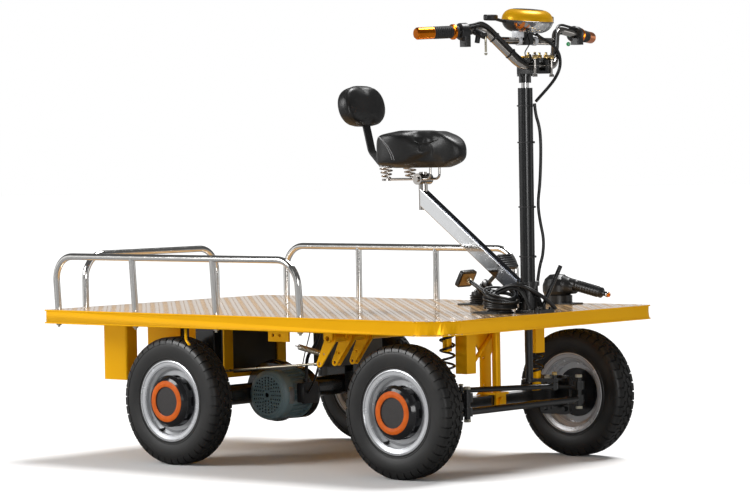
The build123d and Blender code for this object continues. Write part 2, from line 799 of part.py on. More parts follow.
def makeSeatBeam():
    ux, uz = cos(beamAngle), sin(beamAngle)
    nx, nz = uz, -ux

    def section(inset):
        foot = (beamLow[0] - beamFoot * ux + inset * nx, beamLow[1] - beamFoot * uz + inset * nz)
        head = (beamHigh[0] + beamHeight * ux + inset * nx, beamHigh[1] + beamHeight * uz + inset * nz)
        depth = beamHeight - 2 * inset
        corners = [foot, head, (head[0] + depth * nx, head[1] + depth * nz), (foot[0] + depth * nx, foot[1] + depth * nz)]
        return plateXZ(corners, -beamWidth / 2 + inset, beamWidth / 2 - inset)

    shape = section(0)
    shape = fillet(shape.edges().filter_by(Axis((0, 0, 0), (ux, 0, uz))), 3)
    shape -= block(columnX, columnX + 80, -50, 50, 400, 600)
    shape -= post(columnX, 0, 400, 600, socketRadius + 4)
    shape -= block(columnX - 180, columnX + 20, -50, 50, 400, deckTop)
    shape -= block(seatPostX - 150, seatPostX, -50, 50, 600, 900)
    return shape - post(seatPostX, 0, 600, 900, seatPostRadius + 2)


def makeSaddleFrame():
    # clamp round the post, two wire rails, and the coil springs behind
    shape = rod((seatPostX, -27, clampZ), (seatPostX, 27, clampZ), seatClampRadius)
    shape += rod((seatPostX, -33, clampZ), (seatPostX, 33, clampZ), 8)
    shape -= post(seatPostX, 0, clampZ - 60, clampZ + 60, seatPostRadius)
    s = seatSpring
    for side in (-1, 1):
        back = (s["x"], side * s["y"], wireZ)
        points = [back, (seatPostX - 22, side * 20, wireZ), (seatPostX + 44, side * 20, wireZ),
                  (seatPostX + 44, side * 20, saddleBottom)]
        shape += tubeAlong(points, [12, 14], wireRadius)
        shape += post(s["x"], side * s["y"], wireZ - 4, wireZ + 2, s["radius"] + 2)
        shape += post(s["x"], side * s["y"], saddleBottom - 4, saddleBottom, s["radius"] + 10)
    return shape


def makeSaddleSpring(side):
    s = seatSpring
    z0, z1 = wireZ + 2 + s["wire"] / 2, saddleBottom - 4 - s["wire"] / 2
    helix = Helix((z1 - z0) / s["turns"], z1 - z0, s["radius"], cone_angle=s["cone"])
    coil = sweep(Plane(origin=helix @ 0, z_dir=helix % 0) * Circle(s["wire"]), path=helix, is_frenet=True)
    return Pos(s["x"], side * s["y"], z0) * coil


save("seat_beam", makeSeatBeam())
sleeve = post(seatPostX, 0, *sleeveZ, seatPostRadius + 2)
save("seat_sleeve", sleeve - post(seatPostX, 0, sleeveZ[0] - 1, sleeveZ[1] + 1, seatPostRadius))
save("seat_post", post(seatPostX, 0, sleeveZ[0] + 4, postTop, seatPostRadius))
save("saddle_frame", makeSaddleFrame() + makeSaddleSpring(-1) + makeSaddleSpring(1))

saddleBack = seatPostX - 108
saddleLength = 268
# half of the saddle's plan: distance from the back, half width
saddlePlan = ((0, 62), (16, 100), (58, 113), (105, 98), (150, 64), (200, 43), (245, 32))
# side view, over the top and back along the underside: distance from the back, height under the top
saddleSide = ((0, 40), (8, 16), (36, 1), (90, 0), (160, 3), (222, 9), (248, 24), (268, 62), (258, 74), (225, 88))
saddleFlat = (12, 225)


def makeSaddle():
    half = [(saddleBack + d, w) for d, w in saddlePlan]
    plan = half + [(saddleBack + saddleLength, 0)] + [(x, -w) for x, w in reversed(half)] + [(saddleBack - 6, 0)]
    shape = extrude(Plane(origin=(0, 0, saddleBottom)) * make_face(Spline(*plan, periodic=True)), saddleTop - saddleBottom)
    rear, front = (saddleBack + d for d in saddleFlat)
    top = Spline(*[(saddleBack + d, saddleTop - drop) for d, drop in saddleSide])
    under = Polyline(top @ 1, (front, saddleBottom), (rear, saddleBottom), (saddleBack - 10, saddleBottom + 14),
                     (saddleBack - 10, saddleTop - 40), top @ 0)
    side = extrude(Plane(origin=(0, 150, 0), x_dir=(1, 0, 0), z_dir=(0, -1, 0)) * make_face([top, under]), 300)
    return shape & side


backX = 80
backZ = 1015
backTilt = 13
backSize = (175, 115)
backThickness = 50


def makeBackrest():
    face = fillet(Rectangle(*backSize).vertices(), 55)
    pad = extrude(face, backThickness)
    pad = fillet(pad.edges().group_by(Axis.Z)[-1] + pad.edges().group_by(Axis.Z)[0], 14)
    tilt = radians(backTilt)
    turnedPlane = Plane(origin=(backX, 0, backZ), x_dir=(0, 1, 0), z_dir=(cos(tilt), 0, sin(tilt)))
    return turnedPlane * Pos(0, 0, -backThickness / 2) * pad


def makeBackStem():
    # flat strip from under the saddle up to the pad
    strip = [(saddleBack + 60, saddleBottom - 2.5), (saddleBack - 40, saddleBottom - 2.5), (saddleBack - 82, 884), (backX + 10, 985)]
    path = FilletPolyline(*[(x, 0, z) for x, z in strip], radius=[26, 40])
    ribbon = sweep(Plane(origin=path @ 0, x_dir=(0, 1, 0), z_dir=path % 0) * Rectangle(30, 4.5), path=path)
    return ribbon - makeBackrest()


save("saddle", makeSaddle())
save("backrest", makeBackrest())
save("backrest_stem", makeBackStem())

# Foot controls and parking brake on the deck
plateThickness = 4
nearPedal = dict(x=(columnX - 121, columnX - 24), y=(-100, -25), pad=(columnX - 166, -62, 527), boot=(columnX - 52, -62), bellows=36)
farPedal = dict(x=(228, 318), y=(235, 305), pad=(388, 270, 558), boot=(284, 270), bellows=26)
bootHeight = 26
bootFolds = 4


def makePedal(pedal):
    x0, x1 = pedal["x"]
    y0, y1 = pedal["y"]
    px, py, pz = pedal["pad"]
    bx, by = pedal["boot"]
    base = deckTop + plateThickness
    plate = block(x0, x1, y0, y1, deckTop, base)
    shape = fillet(plate.edges().filter_by(Axis.Z), 10)
    # folded boot on the plate
    wide = pedal["bellows"]
    folds = ridges(bootFolds, 0, bootHeight, wide - 5, wide)
    shape += turned((bx, by, base), (bx, by, base + bootHeight + 10), [(0, 0), *folds, (20, bootHeight + 8), (0, bootHeight + 8)])
    # arm with its ringed sleeve
    foot = (bx, by, base + bootHeight)
    shape += rod(foot, (px, py, pz), 6)
    rings = ridges(5, 0, 52, 10, 17)
    shape += turned(foot, (px, py, pz), [(0, 0), *rings, (0, 52)])
    # pad across the arm, square to it
    toward = (Vector(px, py, pz) - Vector(*foot)).normalized()
    face = Plane(origin=(px, py, pz), x_dir=(0, 1, 0), z_dir=toward)
    pad = extrude(face * fillet(Rectangle(66, 50).vertices(), 10), 10)
    return shape + pad


brakeSpot = (frontEdge - 296, 420)
brakeRing = (42, 24)


# boot outline over the ring: radius, height
bootOutline = ((0, 0), (38, 0), (43, 12), (43, 30), (36, 48), (22, 60), (0, 63))
gripStart = (38, 60)
gripEnd = (172, 31)
gripLong = 138


def makeBrakeBoot():
    x, y = brakeSpot
    radius, height = brakeRing
    shape = block(x - 75, x + 75, y - 30, y + 30, deckTop, deckTop + 3)
    shape = fillet(shape.edges().filter_by(Axis.Z), 12) + post(x, y, deckTop, deckTop + height, radius)
    top = deckTop + height
    shape += turned((x - 2, y, top), (x - 2, y, top + 80), bootOutline)
    # neck of the boot, narrowing to the grip
    start, end = (x, y, deckTop + 57), (x + gripEnd[0], y, deckTop + gripEnd[1])
    return shape + turned(start, end, ((0, 0), (26, 0), (28, 22), (25, 40), (20, 56), (18, 66), (0, 66)))


def makeBrakeGrip():
    x, y = brakeSpot
    start, end = [(x + d, y, deckTop + h) for d, h in (gripStart, gripEnd)]
    ribs = ridges(8, 34, 112, 14.5, 16.5)
    outline = [(0, 0), (15, 0), (16.5, 8), (16.5, 30), *ribs, (15.5, 122), (10, 127), (7, 128), (7, gripLong), (0, gripLong)]
    return turned(start, end, outline)


save("foot_brake", makePedal(nearPedal))
save("foot_pedal", makePedal(farPedal))
brakeBoot = makeBrakeBoot()
save("brake_boot", brakeBoot)
save("brake_grip", makeBrakeGrip() - brakeBoot)

# Brake cross shaft, levers and rods under the deck
shaftOuter = 11
shaftBore = 7
# levers: Y place, number of side plates
leverRows = ((-334, 1), (-262, 2), (-187, 2))
leverReach = (-44, -72)
leverPlate = 4
hangers = (-346, -285, 300)


def leverShape(reachX, reachZ):
    x, z = crossShaft
    lx, lz = x + reachX, z + reachZ
    head = Pos(x, z) * Circle(19)
    neck = make_hull(head.edges() + (Pos(lx, lz) * Circle(10)).edges())
    return neck - Pos(lx, lz) * Circle(4.5) - Pos(x + reachX * 0.62, z + reachZ * 0.62) * Circle(3.5)


def makeLevers():
    x, z = crossShaft
    shape = rod((x, -350, z), (x, 320, z), shaftOuter)
    for y in hangers:
        shape += plateXZ([(x - 15, z - 4), (x + 15, z - 4), (x + 15, frameBottom), (x - 15, frameBottom)], y - 3, y + 3)
    for y, plates in leverRows:
        for k in range(plates):
            side = y + (k - (plates - 1) / 2) * 16
            face = leverShape(*leverReach)
            plane = Plane(origin=(0, side + leverPlate / 2, 0), x_dir=(1, 0, 0), z_dir=(0, -1, 0))
            shape += extrude(plane * face, leverPlate)
    shape -= rod((x, -351, z), (x, -300, z), shaftBore)
    return shape


def makeBrakeRod():
    # long rod to the rear brake, and the return spring with its hooks
    x, z = crossShaft[0] + leverReach[0], crossShaft[1] + leverReach[1]
    y = leverRows[0][0] + leverPlate / 2 + 3.6
    return rod((x, y, z), (rearAxleX + 65, y, 262), 3.5) + rod((x, y - 3.6, z), (x, y + 8, z), 4.3)


save("brake_levers", makeLevers())
save("brake_rod", makeBrakeRod())
leverFoot = (columnX + 36, 20)
lockLever = rod((*leverFoot, 452), (columnX + 59, 72, 562), 6)
save("lock_lever", lockLever + post(*leverFoot, deckTop + baseThickness, 458, 8))


# Cables: straight runs joined by arcs as large as the runs allow
def cable(node, points, radius):
    vectors = [Vector(*p) for p in points]
    runs = [(b - a).length for a, b in zip(vectors, vectors[1:])]
    radii = []
    for i in range(1, len(vectors) - 1):
        turn = (vectors[i] - vectors[i - 1]).get_angle(vectors[i + 1] - vectors[i])
        radii.append(0.45 * min(runs[i - 1], runs[i]) / tan(radians(turn / 2)))
    print(node, "bend radii", [round(r) for r in radii])
    save(node, tubeAlong(points, radii, radius))


cableRadius = 4.5
sideways = radians(40)


def besideColumn(reach, z):
    return (columnX + reach * cos(sideways), reach * sin(sideways), z)


# lower harness: distance from the column's axis, height
lowerHarness = [(25.3, 1012), (27, 983), (38, 948), (41, 905), (40, 850), (37, 790), (30, 735),
                (36, 685), (46, 636), (42, 590), (32, 560), (27, 522)]
cable("harness_lower", [besideColumn(r, z) for r, z in lowerHarness], cableRadius)
# upper harness: distance ahead of the column, Y, Z
upperHarness = [(20, 27, 1203.8), (23, 40, 1194), (31, 66, 1183), (39, 86, 1168), (45, 100, 1147),
                (35, 116, 1114), (28, 102, 1082), (25, 72, 1056), (25, 42, 1036), (21, 21, 1018)]
cable("harness_upper", [(columnX + d, y, z) for d, y, z in upperHarness], cableRadius)
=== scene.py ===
import bmesh
import bpy
import json
import math
import random
from mathutils import Matrix, Vector
from mathutils.bvhtree import BVHTree


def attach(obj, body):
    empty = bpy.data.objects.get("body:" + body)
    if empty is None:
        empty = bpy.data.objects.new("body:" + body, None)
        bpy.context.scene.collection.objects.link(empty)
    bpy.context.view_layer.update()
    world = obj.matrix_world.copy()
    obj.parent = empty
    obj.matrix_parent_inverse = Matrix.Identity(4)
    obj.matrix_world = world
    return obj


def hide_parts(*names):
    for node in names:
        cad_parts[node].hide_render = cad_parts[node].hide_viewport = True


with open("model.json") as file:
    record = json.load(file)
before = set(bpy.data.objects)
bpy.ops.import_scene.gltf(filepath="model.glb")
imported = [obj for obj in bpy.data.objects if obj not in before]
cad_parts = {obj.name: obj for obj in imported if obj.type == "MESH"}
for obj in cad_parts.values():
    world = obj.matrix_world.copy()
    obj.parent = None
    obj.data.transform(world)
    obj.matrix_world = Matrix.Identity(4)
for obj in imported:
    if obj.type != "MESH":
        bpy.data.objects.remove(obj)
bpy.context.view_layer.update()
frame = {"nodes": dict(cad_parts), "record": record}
random.seed(7)
print("frame loaded")

# camera, solved from the photo's deck edges and wheels
camera = {
    "azimuth": 40.8313, "elevation": 1.9239, "roll": -0.9174,
    "target": (0.1224, 0.0, 0.6023), "distance": 9.1752, "lens": 153.1,
}


def makeCamera(cfg):
    data = bpy.data.cameras.new("photoCamera")
    data.sensor_width = 36
    data.lens = cfg["lens"]
    cam = bpy.data.objects.new("photoCamera", data)
    bpy.context.scene.collection.objects.link(cam)
    a, e, r = (math.radians(cfg[k]) for k in ("azimuth", "elevation", "roll"))
    back = Vector((math.sin(a) * math.cos(e), -math.cos(a) * math.cos(e), math.sin(e)))
    right = Vector((math.cos(a), math.sin(a), 0))
    up = back.cross(right)
    turnedRight = right * math.cos(r) + up * math.sin(r)
    turnedUp = up * math.cos(r) - right * math.sin(r)
    turn = Matrix((turnedRight, turnedUp, back)).transposed()
    cam.matrix_world = Matrix.Translation(Vector(cfg["target"]) + back * cfg["distance"]) @ turn.to_4x4()
    data.clip_start, data.clip_end = 0.5, 60
    bpy.context.scene.camera = cam


makeCamera(camera)


# node material helpers
class Mat:
    def __init__(self, name):
        self.material = bpy.data.materials.new(name)
        self.material.use_nodes = True
        self.tree = self.material.node_tree
        self.shader = self.tree.nodes["Principled BSDF"]

    def add(self, kind, inputs=None, **settings):
        node = self.tree.nodes.new(kind)
        for key, value in settings.items():
            setattr(node, key, value)
        for key, value in (inputs or {}).items():
            self.put(node.inputs[key], value)
        return node

    def put(self, socket, value):
        if isinstance(value, bpy.types.NodeSocket):
            self.tree.links.new(value, socket)
        else:
            socket.default_value = value

    def set(self, **values):
        for key, value in values.items():
            self.put(self.shader.inputs[key.replace("_", " ")], value)

    def math(self, operation, first, second=0.0):
        return self.add("ShaderNodeMath", {0: first, 1: second}, operation=operation).outputs[0]

    def coords(self, scale=(1, 1, 1), place=(0, 0, 0), turn=(0, 0, 0)):
        source = self.add("ShaderNodeTexCoord")
        return self.add("ShaderNodeMapping", {"Vector": source.outputs["Object"], "Scale": scale,
                                              "Location": place, "Rotation": turn}).outputs[0]

    def axes(self, vector):
        return self.add("ShaderNodeSeparateXYZ", {0: vector}).outputs

    def noise(self, scale, detail=3, roughness=0.5, stretch=(1, 1, 1)):
        node = self.add("ShaderNodeTexNoise", {"Vector": self.coords(stretch), "Scale": scale,
                                               "Detail": detail, "Roughness": roughness})
        return node.outputs["Fac"]

    def cells(self, scale, feature="F1", stretch=(1, 1, 1)):
        node = self.add("ShaderNodeTexVoronoi", {"Vector": self.coords(stretch), "Scale": scale},
                        feature=feature)
        return node.outputs["Distance"]

    def ramp(self, value, low, high, fromLow=0.3, fromHigh=0.7):
        node = self.add("ShaderNodeMapRange", {"Value": value, "From Min": fromLow, "From Max": fromHigh,
                                               "To Min": low, "To Max": high})
        return node.outputs[0]

    def blend(self, share, first, second):
        node = self.add("ShaderNodeMix", data_type="RGBA")
        self.put(node.inputs[0], share)
        self.put(node.inputs[6], first)
        self.put(node.inputs[7], second)
        return node.outputs[2]

    def mix(self, share, first, second):
        node = self.add("ShaderNodeMix", data_type="FLOAT")
        self.put(node.inputs[0], share)
        self.put(node.inputs[2], first)
        self.put(node.inputs[3], second)
        return node.outputs[0]

    def bump(self, height, strength=0.3, distance=0.001):
        node = self.add("ShaderNodeBump", {"Height": height, "Strength": strength, "Distance": distance})
        self.put(self.shader.inputs["Normal"], node.outputs[0])

    def radius(self, centre):
        # distance from a wheel's axle line, in metres
        parts = self.axes(self.coords(place=(-centre[0], 0, -centre[1])))
        return self.math("SQRT", self.math("ADD", self.math("MULTIPLY", parts[0], parts[0]),
                                           self.math("MULTIPLY", parts[2], parts[2])))

    def band(self, value, low, high, soft=0.0006):
        # 1 between low and high
        rise = self.ramp(value, 0, 1, low - soft, low + soft)
        fall = self.ramp(value, 1, 0, high - soft, high + soft)
        return self.math("MULTIPLY", rise, fall)


def colour(r, g, b):
    return (r, g, b, 1)


def paint(name, base, shade, rough=(0.2, 0.32), coat=0.5, peel=0.05, tinted=0.0):
    # tinted: share of the sheen that takes the paint's own colour
    m = Mat(name)
    m.set(Base_Color=m.blend(m.ramp(m.noise(6, 4), 0, 1), base, shade), Metallic=tinted,
          Roughness=m.ramp(m.noise(25, 3), rough[0], rough[1]), Coat_Weight=coat, Coat_Roughness=0.08,
          Specular_IOR_Level=0.5 - 0.7 * tinted)
    m.bump(m.noise(260, 2), peel, 0.0004)
    return m.material


def metal(name, base, rough=(0.06, 0.14), brushed=0.0, stretch=(1, 1, 0.04)):
    m = Mat(name)
    m.set(Base_Color=base, Metallic=1.0, Roughness=m.ramp(m.noise(40, 3), rough[0], rough[1]))
    if brushed:
        m.bump(m.noise(900, 2, 0.6, stretch), brushed, 0.0002)
    return m.material


def rubber(name, base, shade, rough=(0.5, 0.7), grain=300, deep=0.15):
    m = Mat(name)
    m.set(Base_Color=m.blend(m.ramp(m.noise(12, 4), 0, 1), base, shade),
          Roughness=m.ramp(m.noise(30, 3), rough[0], rough[1]))
    m.bump(m.noise(grain, 3), deep, 0.0006)
    return m.material


def tyreRubber(name):
    # sheen on the side walls, dull dusty tread
    m = Mat(name)
    side = m.ramp(m.math("ABSOLUTE", m.axes(m.add("ShaderNodeNewGeometry").outputs["Normal"])[1]), 0, 1,
                  0.45, 0.85)
    m.set(Base_Color=m.blend(m.ramp(m.noise(14, 4), 0, 1), colour(0.009, 0.009, 0.009),
                             colour(0.016, 0.015, 0.014)),
          Roughness=m.mix(side, 0.6, m.ramp(m.noise(9, 4), 0.30,
                                            0.44)), Specular_IOR_Level=m.mix(side, 0.3, 0.55))
    m.bump(m.noise(420, 3), 0.12, 0.0006)
    return m.material


def motorFinish(name):
    # blue-grey cast paint; black painted shade inside the vents of the fan cover
    m = Mat(name)
    parts = m.axes(m.coords())
    # painted shade: black inside the fan cover's vents, behind its face and within 62 mm of the axle
    deep = m.math("MULTIPLY", m.math("GREATER_THAN", parts[1], -0.1618),
                  m.math("LESS_THAN", parts[1], -0.126))
    inner = m.math("MULTIPLY", deep, m.math("LESS_THAN", m.radius((-0.160, 0.184)), 0.062))
    base = m.blend(m.ramp(m.noise(8, 4), 0, 1), colour(0.155, 0.225, 0.245), colour(0.115, 0.175, 0.195))
    m.set(Base_Color=m.blend(inner, base, colour(0.002, 0.002, 0.002)),
          Roughness=m.ramp(m.noise(30, 3), 0.3, 0.42),
          Specular_IOR_Level=m.mix(inner, 0.6, 0.0))
    m.bump(m.noise(380, 3), 0.12, 0.0005)
    return m.material


def beamPaintedReflection(name):
    # polished side: its base colour holds a painted reflection, pale on the side faces high up, with painted shade
    # towards the foot and on the top and under faces
    m = Mat(name)
    flank = m.ramp(m.math("ABSOLUTE", m.axes(m.add("ShaderNodeNewGeometry").outputs["Normal"])[1]), 0, 1,
                   0.6, 0.8)
    height = m.ramp(m.axes(m.coords())[2], 0.12, 1.0, 0.52, 0.62)
    # painted reflection: pale on the side faces high up, painted shade low down and on the top and under faces
    paintedReflection = m.math("MULTIPLY", flank, height)
    m.set(Base_Color=m.blend(paintedReflection, colour(0.055, 0.06, 0.075), colour(0.80, 0.81, 0.82)), Metallic=1.0,
          Roughness=m.ramp(m.noise(40, 3), 0.05, 0.1))
    m.bump(m.noise(60, 2), 0.03, 0.0006)
    return m.material


def shaftFinish(name):
    # chrome over the column, black enamel under the deck
    m = Mat(name)
    low = m.ramp(m.axes(m.coords())[2], 1, 0, 0.60, 0.62)
    m.set(Base_Color=m.blend(low, colour(0.80, 0.79, 0.78), colour(0.007, 0.007, 0.007)),
          Metallic=m.math("SUBTRACT", 1.0, low),
          Roughness=m.mix(low, 0.06, m.ramp(m.noise(25, 3), 0.16,
                                            0.28)), Coat_Weight=m.math("MULTIPLY", low, 0.4))
    return m.material


def leather(name):
    # fine pebbled grain with soft creases
    m = Mat(name)
    m.set(Base_Color=m.blend(m.ramp(m.noise(9, 4), 0, 1), colour(0.007, 0.007, 0.007),
                             colour(0.012, 0.012, 0.012)),
          Roughness=m.ramp(m.noise(18, 3), 0.3, 0.44), Specular_IOR_Level=0.45)
    grain = m.math("MULTIPLY", m.cells(620), 0.6)
    crease = m.math("MULTIPLY", m.noise(55, 4, 0.6), 0.8)
    m.bump(m.math("ADD", grain, crease), 0.22, 0.0009)
    return m.material


def hubFinish(name, axleX, face):
    # gloss black drum, dull orange ring and a speckled dark cap, by distance from the axle
    # face: where ring and cap start outwards
    m = Mat(name)
    r = m.radius((axleX, axleHeight))
    outer = m.ramp(m.math("ABSOLUTE", m.axes(m.coords())[1]), 0, 1, face - 0.0005, face + 0.0005)
    ring = m.math("MULTIPLY", outer, m.band(r, 0.0418, 0.0588))
    cap = m.math("MULTIPLY", outer, m.ramp(r, 1, 0, 0.0410, 0.0418))
    speckle = m.ramp(m.noise(700, 2), 0, 1, 0.45, 0.62)
    base = m.blend(ring, colour(0.010, 0.010, 0.011), m.blend(m.ramp(m.noise(60, 3), 0, 1), *ringColours))
    m.set(Base_Color=m.blend(cap, base, m.blend(speckle, colour(0.018, 0.016, 0.016),
                                                colour(0.050, 0.044, 0.042))),
          Roughness=m.mix(m.math("MAXIMUM", ring, cap), 0.14, 0.42), Specular_IOR_Level=m.mix(ring, 0.5, 0.2))
    m.bump(m.noise(420, 2), 0.08, 0.0004)
    return m.material


def rimFinish(name, axleX):
    # silver sheet; its turned grooves are dark rings of painted shade in the base colour
    m = Mat(name)
    r = m.radius((axleX, axleHeight))
    # painted shade: dark rings at the radii of the turned grooves
    paintedGrooveShade = m.math("MAXIMUM", m.band(r, 0.1002, 0.1018), m.math("MAXIMUM", m.band(r, 0.0900, 0.0908),
                                                               m.band(r, 0.1108, 0.1118)))
    base = m.blend(m.ramp(m.noise(14, 4), 0, 1), colour(0.60, 0.61, 0.63), colour(0.57, 0.58, 0.60))
    m.set(Base_Color=m.blend(m.math("MULTIPLY", paintedGrooveShade, 0.7), base, colour(0.10, 0.10, 0.11)), Metallic=0.4,
          Roughness=m.ramp(m.noise(30, 3), 0.24, 0.28), Coat_Weight=0.2, Coat_Roughness=0.1)
    m.bump(m.noise(500, 2), 0.05, 0.0003)
    return m.material


def gripFinish(name):
    # orange anodised ends and collars round the ribbed rubber, by distance along the bar
    m = Mat(name)
    parts = m.axes(m.coords())
    side = m.math("ABSOLUTE", parts[1])
    flat = m.add("ShaderNodeCombineXYZ", {0: parts[0], 1: side, 2: parts[2]}).outputs[0]
    away = m.add("ShaderNodeVectorMath", {0: flat, 1: tuple(-v for v in gripEnd)}, operation="ADD").outputs[0]
    along = m.add("ShaderNodeVectorMath", {0: away, 1: tuple(gripRun)},
                  operation="DOT_PRODUCT").outputs["Value"]
    end = m.ramp(along, 1, 0, 0.0465, 0.0475)
    orange = m.math("MAXIMUM", end, m.band(along, 0.1060, 0.1165))
    m.set(Base_Color=m.blend(orange, colour(0.014, 0.014, 0.015), m.blend(m.ramp(m.noise(40, 3), 0, 1),
                                                                           colour(0.95, 0.27, 0.010), colour(0.80, 0.18, 0.006))),
          Metallic=m.math("MULTIPLY", orange, 0.95), Roughness=m.mix(orange, 0.62, 0.2))
    m.bump(m.noise(500, 2), 0.06, 0.0004)
    return m.material


def lensFinish(name):
    # clear cover over a many-sided reflector whose facets carry painted reflections from dark to white, with amber
    # patches at its near side
    m = Mat(name)
    facet = m.add("ShaderNodeTexVoronoi", {"Vector": m.coords(), "Scale": 95}, feature="F1")
    shade = m.axes(facet.outputs["Color"])[0]
    parts = m.axes(m.coords())
    amber = m.math("MULTIPLY", m.ramp(parts[1], 1, 0, -0.052, -0.046), m.ramp(shade, 0, 1, 0.45, 0.5))
    # painted reflection: each facet's base colour runs from dark to white
    base = m.blend(m.ramp(shade, 0, 1, 0.1, 0.9), colour(0.10, 0.10, 0.11), colour(0.95, 0.95, 0.95))
    m.set(Base_Color=m.blend(amber, base, colour(0.80, 0.22, 0.02)), Metallic=0.85, Roughness=0.12,
          Coat_Weight=1.0, Coat_Roughness=0.02)
    m.bump(facet.outputs["Distance"], 0.9, 0.004)
    return m.material


def deckFinish(name):
    # yellow sheet; upward faces greyish brown, a painted reflection of the pale surroundings seen at a grazing angle,
    # its tone varied by noise
    m = Mat(name)
    up = m.axes(m.add("ShaderNodeNewGeometry").outputs["Normal"])[2]
    top = m.ramp(up, 0, 1, 0.45, 0.7)
    # painted reflection: greyish brown base colour on the upward faces, noise varies its tone
    paintedReflectionTone = m.ramp(m.noise(5, 5, 0.6), 0.25, 0.6)
    yellow = m.blend(m.ramp(m.noise(6, 4), 0, 1), colour(0.92, 0.46, 0.001), colour(0.88, 0.43, 0.001))
    paintedTopReflection = m.blend(paintedReflectionTone, colour(0.52, 0.30, 0.10), colour(0.46, 0.32, 0.20))
    m.set(Base_Color=m.blend(top, yellow, paintedTopReflection), Metallic=m.mix(top, 0.4, 0.0),
          Specular_IOR_Level=m.mix(top, 0.2, 0.5),
          Roughness=m.mix(top, 0.28, 0.14), Coat_Weight=m.mix(top, 0.0, 0.6), Coat_Roughness=0.08)
    m.bump(m.noise(260, 2), 0.05, 0.0004)
    return m.material


# wheels as part.py sets them, millimetres
wheelPlaces = {
    "front_left": (550, 386, 1), "front_right": (550, -386, -1),
    "rear_left": (-270, 417, 1), "rear_right": (-270, -417, -1),
}
axleHeight = 0.183
ringColours = (colour(0.62, 0.115, 0.006), colour(0.50, 0.085, 0.005))
gripEnd = (0.617, 0.384, 1.201)
gripRun = (Vector((0.672, 0.229, 1.208)) - Vector(gripEnd)).normalized()

finishes = {
    "yellow_paint": paint("yellowPaint", colour(0.92, 0.46, 0.001), colour(0.88, 0.43, 0.001), (0.28, 0.34),
                          0.0, 0.02, 0.4),
    "checker_sheet": deckFinish("deckYellow"),
    "polished_tube": metal("polishedTube", colour(0.78, 0.77, 0.75), (0.07, 0.16), 0.12),
    "chrome": metal("chrome", colour(0.52, 0.49, 0.46), (0.05, 0.12)),
    "zinc": metal("zinc", colour(0.62, 0.58, 0.46), (0.22, 0.4)),
    "black_paint": paint("blackPaint", colour(0.006, 0.006, 0.006), colour(0.010, 0.010, 0.010),
                         (0.14, 0.26), 0.5),
    "column_paint": paint("columnPaint", colour(0.004, 0.0045, 0.005), colour(0.007, 0.0075, 0.008),
                          (0.2, 0.26), 0.0),
    "silver_paint": rimFinish("rimSilverFront", 0.550),
    "hub_finish": hubFinish("hubFront", 0.550, 0.428),
    "tyre": tyreRubber("tyreRubber"),
    "motor_paint": motorFinish("motorPaint"),
    "black_plastic": rubber("blackPlastic", colour(0.010, 0.010, 0.011), colour(0.016, 0.016, 0.017),
                            (0.28, 0.42), 500, 0.08),
    "yellow_plastic": paint("yellowPlastic", colour(0.74, 0.38, 0.002), colour(0.66, 0.33, 0.002),
                            (0.26, 0.34), 0.0, 0.02, 0.35),
    "lens": lensFinish("lensReflector"),
    "leather": leather("leather"),
    "black_rubber": rubber("blackRubber", colour(0.008, 0.008, 0.008), colour(0.014, 0.014, 0.014),
                           (0.26, 0.42)),
    "battery_case": rubber("batteryCase", colour(0.022, 0.018, 0.008), colour(0.034, 0.028, 0.012),
                           (0.35, 0.55)),
}
special = {
    "rimRear": rimFinish("rimSilverRear",
                         -0.270), "hubRear": hubFinish("hubRear", -0.270,
                                                       0.459), "grips": gripFinish("gripRubber"),
    "goldZinc": metal("goldZinc", colour(0.72, 0.52, 0.22), (0.2, 0.35)),
    "thread": rubber("thread", colour(0.42, 0.42, 0.43), colour(0.34, 0.34, 0.35), (0.6, 0.8)),
    "ochre": paint("ochreMetal", colour(0.36, 0.17, 0.03), colour(0.26, 0.12, 0.02), (0.35, 0.5), 0.1),
    "beam": beamPaintedReflection("beamChromePaintedReflection"), "shaft": shaftFinish("steeringShaft"),
    "whitePlastic": paint("whitePlastic", colour(0.62, 0.63, 0.65), colour(0.56, 0.57, 0.6), (0.25, 0.35),
                          0.2),
    "orangeMetal": metal("orangeMetal", colour(0.95, 0.24, 0.02), (0.15, 0.25)),
    "greenPlastic": paint("greenPlastic", colour(0.01, 0.30, 0.09), colour(0.01, 0.26, 0.08), (0.2, 0.3)),
    "screen": paint("screenGlass", colour(0.008, 0.008, 0.010), colour(0.012, 0.012, 0.014), (0.04, 0.08),
                    1.0, 0.0),
    "greyTrim": paint("greyTrim", colour(0.06, 0.06, 0.062), colour(0.08, 0.08, 0.08), (0.2, 0.3), 0.4),
    "silverPlate": metal("silverPlate", colour(0.70, 0.70, 0.70), (0.25, 0.4), 0.1),
}
slotOf = {row["node"]: row["material_slot"] for row in frame["record"]["subparts"]}
for node, obj in frame["nodes"].items():
    obj.data.materials.clear()
    obj.data.materials.append(finishes[slotOf[node]])
for side in ("left", "right"):
    frame["nodes"]["rim_rear_" + side].data.materials[0] = special["rimRear"]
    frame["nodes"]["hub_rear_" + side].data.materials[0] = special["hubRear"]
frame["nodes"]["grips"].data.materials[0] = special["grips"]
frame["nodes"]["steering_shaft"].data.materials[0] = special["shaft"]
frame["nodes"]["seat_beam"].data.materials[0] = special["beam"]
print("materials made")

# cords, by the route points of part.py in metres
cordDiameter = 0.009
lowerRoute = [
    (0.6984, 0.0163, 1.012), (0.6997, 0.0174, 0.983), (0.7081, 0.0244, 0.948), (0.7104, 0.0264, 0.905),
    (0.7096, 0.0257, 0.850), (0.7073, 0.0238, 0.790), (0.7020, 0.0193, 0.735), (0.7066, 0.0231, 0.685),
    (0.7142, 0.0296, 0.636), (0.7112, 0.0270, 0.590), (0.7035, 0.0206, 0.560), (0.6997, 0.0174, 0.522),
]
upperRoute = [
    (0.699, 0.027, 1.2038), (0.702, 0.040, 1.194), (0.710, 0.066,
                                                    1.183), (0.718, 0.086, 1.168), (0.724, 0.100, 1.147),
    (0.714, 0.116, 1.114), (0.707, 0.102, 1.082), (0.704, 0.072,
                                                   1.056), (0.704, 0.042, 1.036), (0.700, 0.021, 1.018),
]


